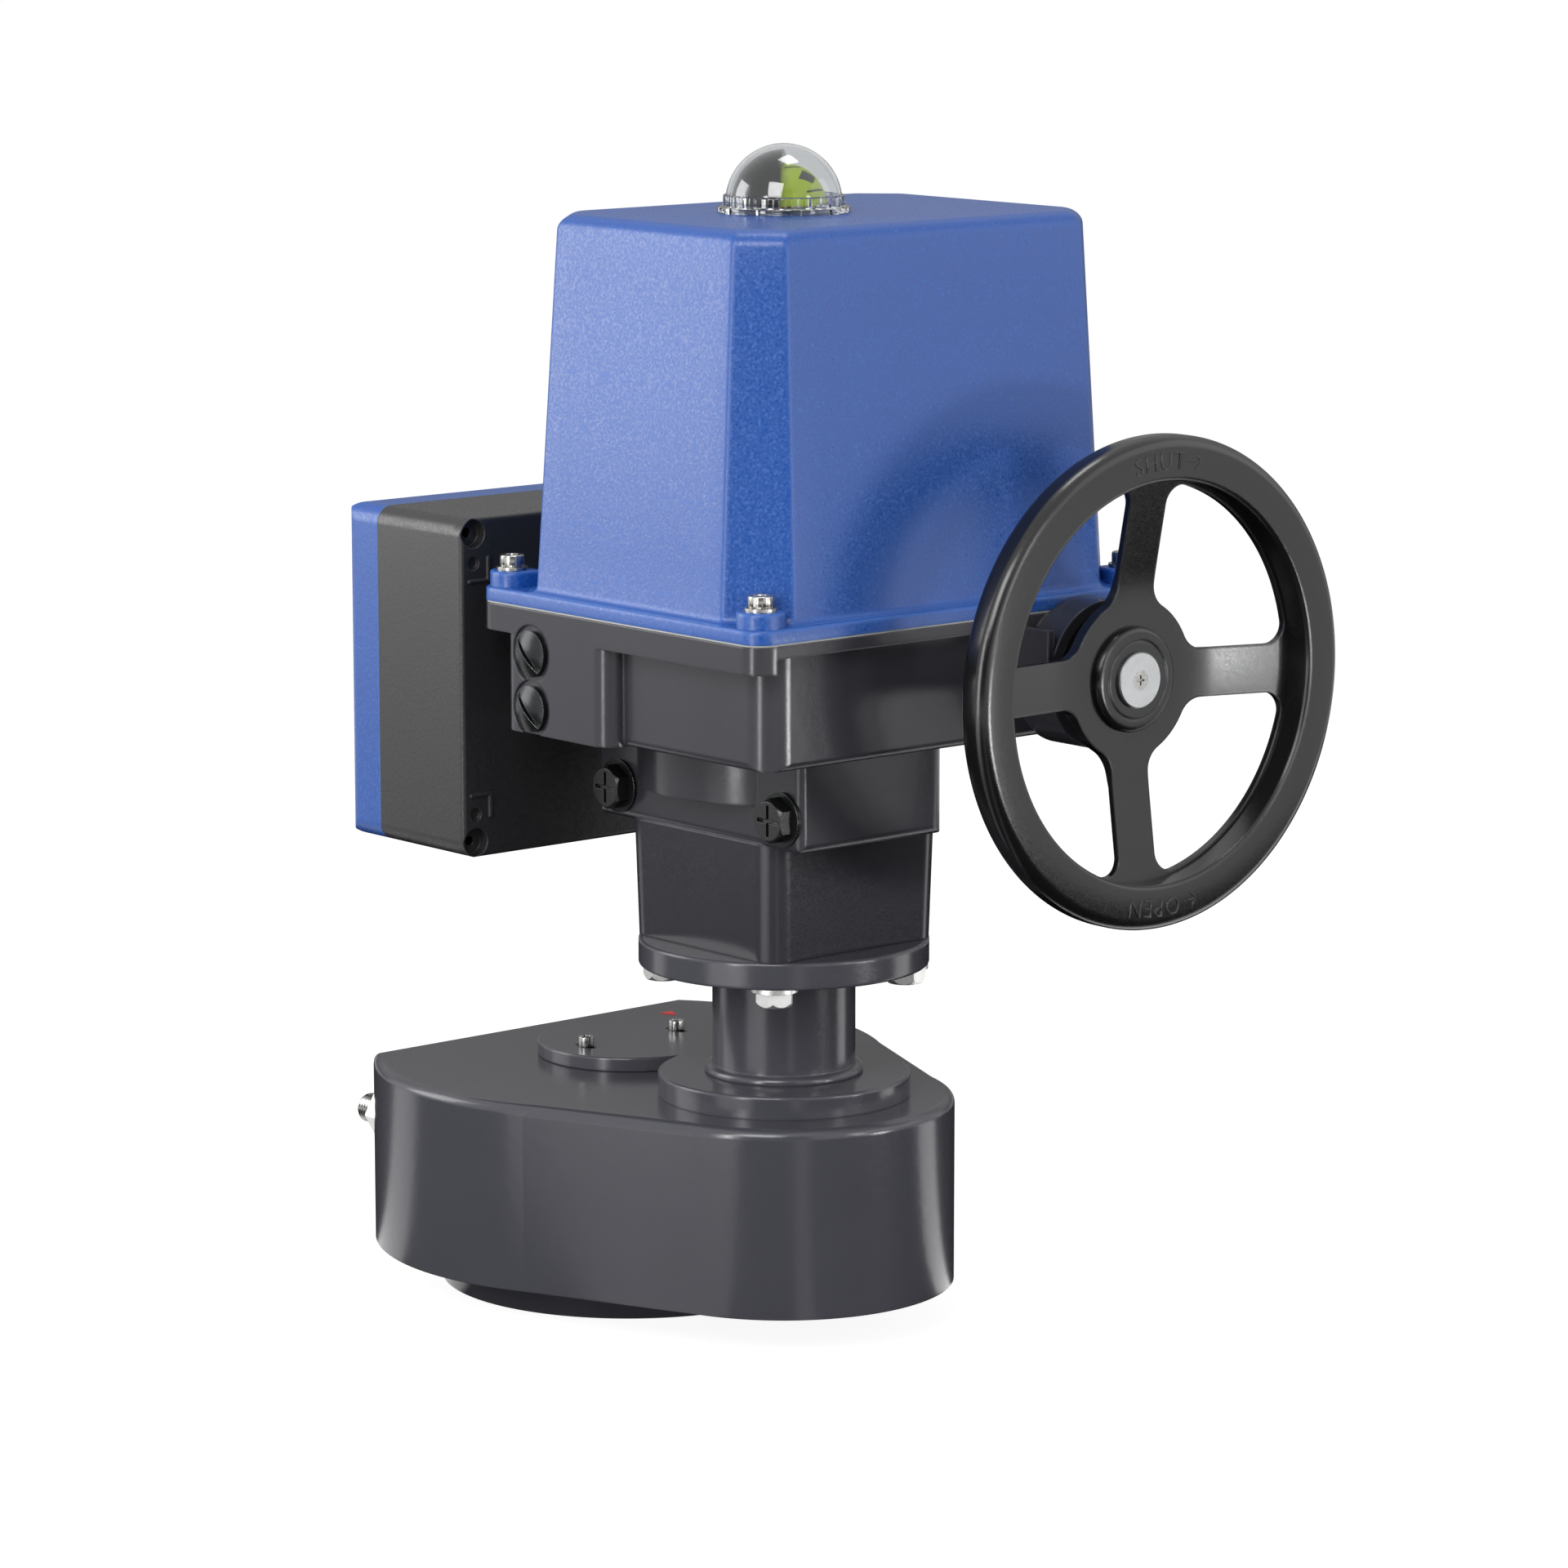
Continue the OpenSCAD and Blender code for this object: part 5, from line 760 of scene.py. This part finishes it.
# %% Rim lettering
def rim_word(name, text, middle_deg, radius, height):
    """Raised text on the rim. x' = X + (R + y) cos(a), z' = Z + (R + y) sin(a), a = a0 - x / R."""
    curve = bpy.data.curves.new(name, "FONT")
    curve.body = text
    curve.size = height * 1.35
    curve.space_character = 1.15
    curve.extrude = 0.5
    curve.align_x, curve.align_y = "CENTER", "CENTER"
    curve.resolution_u = 4
    holder = bpy.data.objects.new(name + "_text", curve)
    bpy.context.scene.collection.objects.link(holder)
    bpy.context.view_layer.update()
    flat = bpy.data.meshes.new_from_object(holder.evaluated_get(bpy.context.evaluated_depsgraph_get()))
    bpy.data.objects.remove(holder)
    co = np.zeros(len(flat.vertices) * 3, np.float32)
    flat.vertices.foreach_get("co", co)
    co = co.reshape(-1, 3)
    a = math.radians(middle_deg) - co[:, 0] / radius
    r = radius + co[:, 1]
    proud = np.where(co[:, 2] > 0.0, -0.25, 0.3)
    bent = np.stack([WHEEL_X + r * np.cos(a), RIM_FACE + proud, WHEEL_Z + r * np.sin(a)], axis=-1) / 1000.0
    flat.vertices.foreach_set("co", bent.astype(np.float32).ravel())
    shape = bmesh.new()
    shape.from_mesh(flat)
    bmesh.ops.remove_doubles(shape, verts=shape.verts, dist=1e-6)
    bmesh.ops.recalc_face_normals(shape, faces=shape.faces)
    shape.to_mesh(flat)
    shape.free()
    flat.materials.clear()
    flat.materials.append(wheel_lacquer)
    word = bpy.data.objects.new(name, flat)
    bpy.context.scene.collection.objects.link(word)
    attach(word, "handwheel")
    print(f"{name}: {len(flat.polygons)} faces")
    return word


rim_word("rim_word_shut", "SHUT→", 89.5, 112.0, 9.5)
rim_word("rim_word_open", "←OPEN", 270.0, 113.0, 9.5)

# %% [markdown]
# ## The floor and the background
# The object stands on a plain pale floor that runs on as a white surround. The
# camera, reflections and refractions see the surround as white at strength 1,
# while the light that it sends onto the object is set on its own.

# %% Floor and world
floor_mesh = bpy.data.meshes.new("floor")
u = np.linspace(0.0, 2.0 * np.pi, 64, endpoint=False)
floor_points = np.stack([14.0 * np.cos(u), 14.0 * np.sin(u), np.full(64, -0.0004)], axis=-1)
floor_mesh.from_pydata(floor_points.tolist(), [], [list(range(64))])
floor = bpy.data.objects.new("floor", floor_mesh)
bpy.context.scene.collection.objects.link(floor)

floor_paint = bpy.data.materials.new("white_studio_floor")
floor_paint.use_nodes = True
tree = floor_paint.node_tree
tree.nodes.clear()
path = add(tree, "ShaderNodeLightPath")
seen = add(tree, "ShaderNodeMath", {"operation": "MAXIMUM"},
           {0: path.outputs["Is Camera Ray"], 1: path.outputs["Is Glossy Ray"]})
seen = add(tree, "ShaderNodeMath", {"operation": "MAXIMUM"},
           {0: seen.outputs[0], 1: path.outputs["Is Transmission Ray"]})
paint = add(tree, "ShaderNodeBsdfDiffuse", {"Color": srgb("#8c8c8c")})
glow = add(tree, "ShaderNodeEmission", {"Color": (1.0, 1.0, 1.0, 1.0), "Strength": 0.91})
lit = add(tree, "ShaderNodeAddShader", {}, {0: paint.outputs["BSDF"], 1: glow.outputs["Emission"]})
shown = add(tree, "ShaderNodeMixShader", {}, {0: seen.outputs[0], 1: paint.outputs["BSDF"], 2: lit.outputs["Shader"]})
add(tree, "ShaderNodeOutputMaterial", {}, {"Surface": shown.outputs["Shader"]})
floor_mesh.materials.append(floor_paint)

world = bpy.data.worlds.new("studio")
bpy.context.scene.world = world
world.use_nodes = True
tree = world.node_tree
tree.nodes.clear()
path = add(tree, "ShaderNodeLightPath")
seen = add(tree, "ShaderNodeMath", {"operation": "MAXIMUM"},
           {0: path.outputs["Is Camera Ray"], 1: path.outputs["Is Glossy Ray"]})
seen = add(tree, "ShaderNodeMath", {"operation": "MAXIMUM"},
           {0: seen.outputs[0], 1: path.outputs["Is Transmission Ray"]})
fill = add(tree, "ShaderNodeBackground", {"Color": srgb("#e9edf2"), "Strength": 0.42})
white = add(tree, "ShaderNodeBackground", {"Color": (1.0, 1.0, 1.0, 1.0), "Strength": 1.0})
mixed = add(tree, "ShaderNodeMixShader", {}, {0: seen.outputs[0], 1: fill.outputs["Background"], 2: white.outputs["Background"]})
add(tree, "ShaderNodeOutputWorld", {}, {"Surface": mixed.outputs["Shader"]})
print("world and floor are set")

# %% [markdown]
# ## Lamps and flags
# Softboxes stand where the photograph shows their reflection. A bright one at the
# back left veils the left wall of the hood. Its lower edge stands just high enough
# that the upright walls of the housing don't mirror it. A soft one at the front
# right throws the wheel's shadow on the hood. Narrow ones draw the lines along the
# rounded edges, and a key lamp gives the light that the colours are seen in.

# %% Lamps


MIDDLE = Vector((0.0, -0.125, 0.33))


def on_floor(heading, distance):
    """Point of the table at that heading (degrees, anticlockwise from +X) and distance from the unit."""
    a = math.radians(heading)
    return MIDDLE.x + distance * math.cos(a), MIDDLE.y + distance * math.sin(a)


def softbox(name, place, width, height, brightness):
    """An area lamp at that place that faces the unit. Power = brightness * pi * width * height."""
    data = bpy.data.lights.new(name, "AREA")
    data.shape = "RECTANGLE"
    data.size, data.size_y = width, height
    data.energy = brightness * math.pi * width * height
    lamp = bpy.data.objects.new(name, data)
    bpy.context.scene.collection.objects.link(lamp)
    lamp.location = place
    lamp.rotation_euler = (Vector(place) - MIDDLE).to_track_quat("Z", "Y").to_euler()
    return lamp


def standing_box(name, heading, distance, width, low, high, brightness):
    """A softbox that stands upright at a heading, from one height to another."""
    x, y = on_floor(heading, distance)
    lamp = softbox(name, (x, y, 0.5 * (low + high)), width, high - low, brightness)
    lamp.rotation_euler = Vector((x - MIDDLE.x, y - MIDDLE.y, 0.0)).to_track_quat("Z", "Y").to_euler()
    return lamp


standing_box("left_back_box", 130.6, 1.6, 0.8, 0.31, 1.36, 4.9)
standing_box("right_front_box", -47.0, 1.6, 1.4, 0.48, 1.6, 0.8)
standing_box("left_strip", 192.0, 1.6, 0.24, 0.02, 1.0, 13.0)
standing_box("front_strip", -80.0, 1.6, 0.22, 0.30, 1.0, 7.0)
standing_box("wheel_strip", -66.0, 1.35, 0.26, 0.04, 0.18, 30.0)
softbox("key", (-1.55, -1.06, 1.55), 1.0, 1.0, 8.5)
softbox("top_box", (0.25, -0.1, 2.2), 0.6, 0.6, 7.0)

# %% [markdown]
# Upright walls mirror the table, seen from this height. So black cloth with a
# few bright strips lies on it, and each strip becomes an upright highlight on
# every round wall. A tall grey card behind the unit does the same for flat tops,
# and a black one stands on the camera side. Reflections alone see them.

# %% Cards and cloth
def card_material(name, ramps, tint=(1.0, 1.0, 1.0, 1.0), base=0.0, height=None):
    """Brightness = base + sum of strips, each 1 between two headings, times a rise with distance;
    or, for a standing card, a straight rise between two heights."""
    material = bpy.data.materials.new(name)
    material.use_nodes = True
    tree = material.node_tree
    tree.nodes.clear()
    place = add(tree, "ShaderNodeTexCoord").outputs["Object"]
    split = add(tree, "ShaderNodeSeparateXYZ", {}, {0: place})
    if height is not None:
        low, high, dark, light = height
        total = add(tree, "ShaderNodeMapRange",
                    {"From Min": low, "From Max": high, "To Min": dark, "To Max": light},
                    {"Value": split.outputs["Z"]}).outputs["Result"]
    else:
        x = add(tree, "ShaderNodeMath", {"operation": "SUBTRACT", 1: MIDDLE.x}, {0: split.outputs["X"]})
        y = add(tree, "ShaderNodeMath", {"operation": "SUBTRACT", 1: MIDDLE.y}, {0: split.outputs["Y"]})
        far = add(tree, "ShaderNodeVectorMath", {"operation": "DISTANCE", 1: (MIDDLE.x, MIDDLE.y, 0.001)}, {0: place})
        total = add(tree, "ShaderNodeValue").outputs[0]
        total.default_value = base
        for start, end, near_light, far_light in ramps:
            middle, half = math.radians(0.5 * (start + end)), math.radians(0.5 * (end - start))
            along = add(tree, "ShaderNodeMath", {"operation": "MULTIPLY", 1: math.cos(middle)}, {0: x.outputs[0]})
            along = add(tree, "ShaderNodeMath", {"operation": "MULTIPLY_ADD", 1: math.sin(middle)},
                        {0: y.outputs[0], 2: along.outputs[0]})
            across = add(tree, "ShaderNodeMath", {"operation": "MULTIPLY", 1: -math.sin(middle)}, {0: x.outputs[0]})
            across = add(tree, "ShaderNodeMath", {"operation": "MULTIPLY_ADD", 1: math.cos(middle)},
                         {0: y.outputs[0], 2: across.outputs[0]})
            turn = add(tree, "ShaderNodeMath", {"operation": "ARCTAN2"}, {0: across.outputs[0], 1: along.outputs[0]})
            size = add(tree, "ShaderNodeMath", {"operation": "ABSOLUTE"}, {0: turn.outputs[0]})
            inside = add(tree, "ShaderNodeMapRange",
                         {"From Min": half + 0.02, "From Max": half - 0.02, "To Min": 0.0, "To Max": 1.0},
                         {"Value": size.outputs[0]})
            light = add(tree, "ShaderNodeMapRange",
                        {"From Min": 0.4, "From Max": 1.2, "To Min": near_light, "To Max": far_light},
                        {"Value": far.outputs["Value"]})
            total = add(tree, "ShaderNodeMath", {"operation": "MULTIPLY_ADD"},
                        {0: inside.outputs["Result"], 1: light.outputs["Result"], 2: total}).outputs[0]
    glow = add(tree, "ShaderNodeEmission", {"Color": tint}, {"Strength": total})
    add(tree, "ShaderNodeOutputMaterial", {}, {"Surface": glow.outputs["Emission"]})
    return material


def card(name, points, material):
    """A flat card that only reflections see."""
    mesh = bpy.data.meshes.new(name)
    mesh.from_pydata(np.asarray(points, float).tolist(), [], [list(range(len(points)))])
    mesh.materials.append(material)
    piece = bpy.data.objects.new(name, mesh)
    bpy.context.scene.collection.objects.link(piece)
    piece.visible_camera = False
    piece.visible_diffuse = False
    piece.visible_transmission = False
    piece.visible_shadow = False
    return piece


def standing_points(heading, distance, width, low, high):
    """Four corners of an upright card across a heading."""
    a = math.radians(heading)
    x, y = on_floor(heading, distance)
    side = np.array([-math.sin(a), math.cos(a)]) * 0.5 * width
    return [[x - side[0], y - side[1], low], [x + side[0], y + side[1], low],
            [x + side[0], y + side[1], high], [x - side[0], y - side[1], high]]


turn = np.linspace(0.0, 2.0 * np.pi, 65)[:-1]
cloth = np.stack([MIDDLE.x + 1.5 * np.cos(turn), MIDDLE.y + 1.5 * np.sin(turn), np.full(64, -0.0002)], axis=-1)
card("table_cloth", cloth, card_material("black_cloth_with_strips", (
    (-36.0, -17.0, 2.3, 2.3), (-124.0, -115.0, 0.6, 0.6), (169.0, 201.0, 0.7, 2.6), (108.0, 124.0, 1.3, 1.3))))
card("far_card", standing_points(49.4, 3.2, 7.0, 0.0, 3.0),
     card_material("grey_card", (), height=(0.6, 1.2, 0.16, 0.48)))
card("camera_card", standing_points(-137.0, 3.4, 3.0, 0.0, 2.6),
     card_material("black_card", (), height=(0.0, 2.6, 0.02, 0.02)))
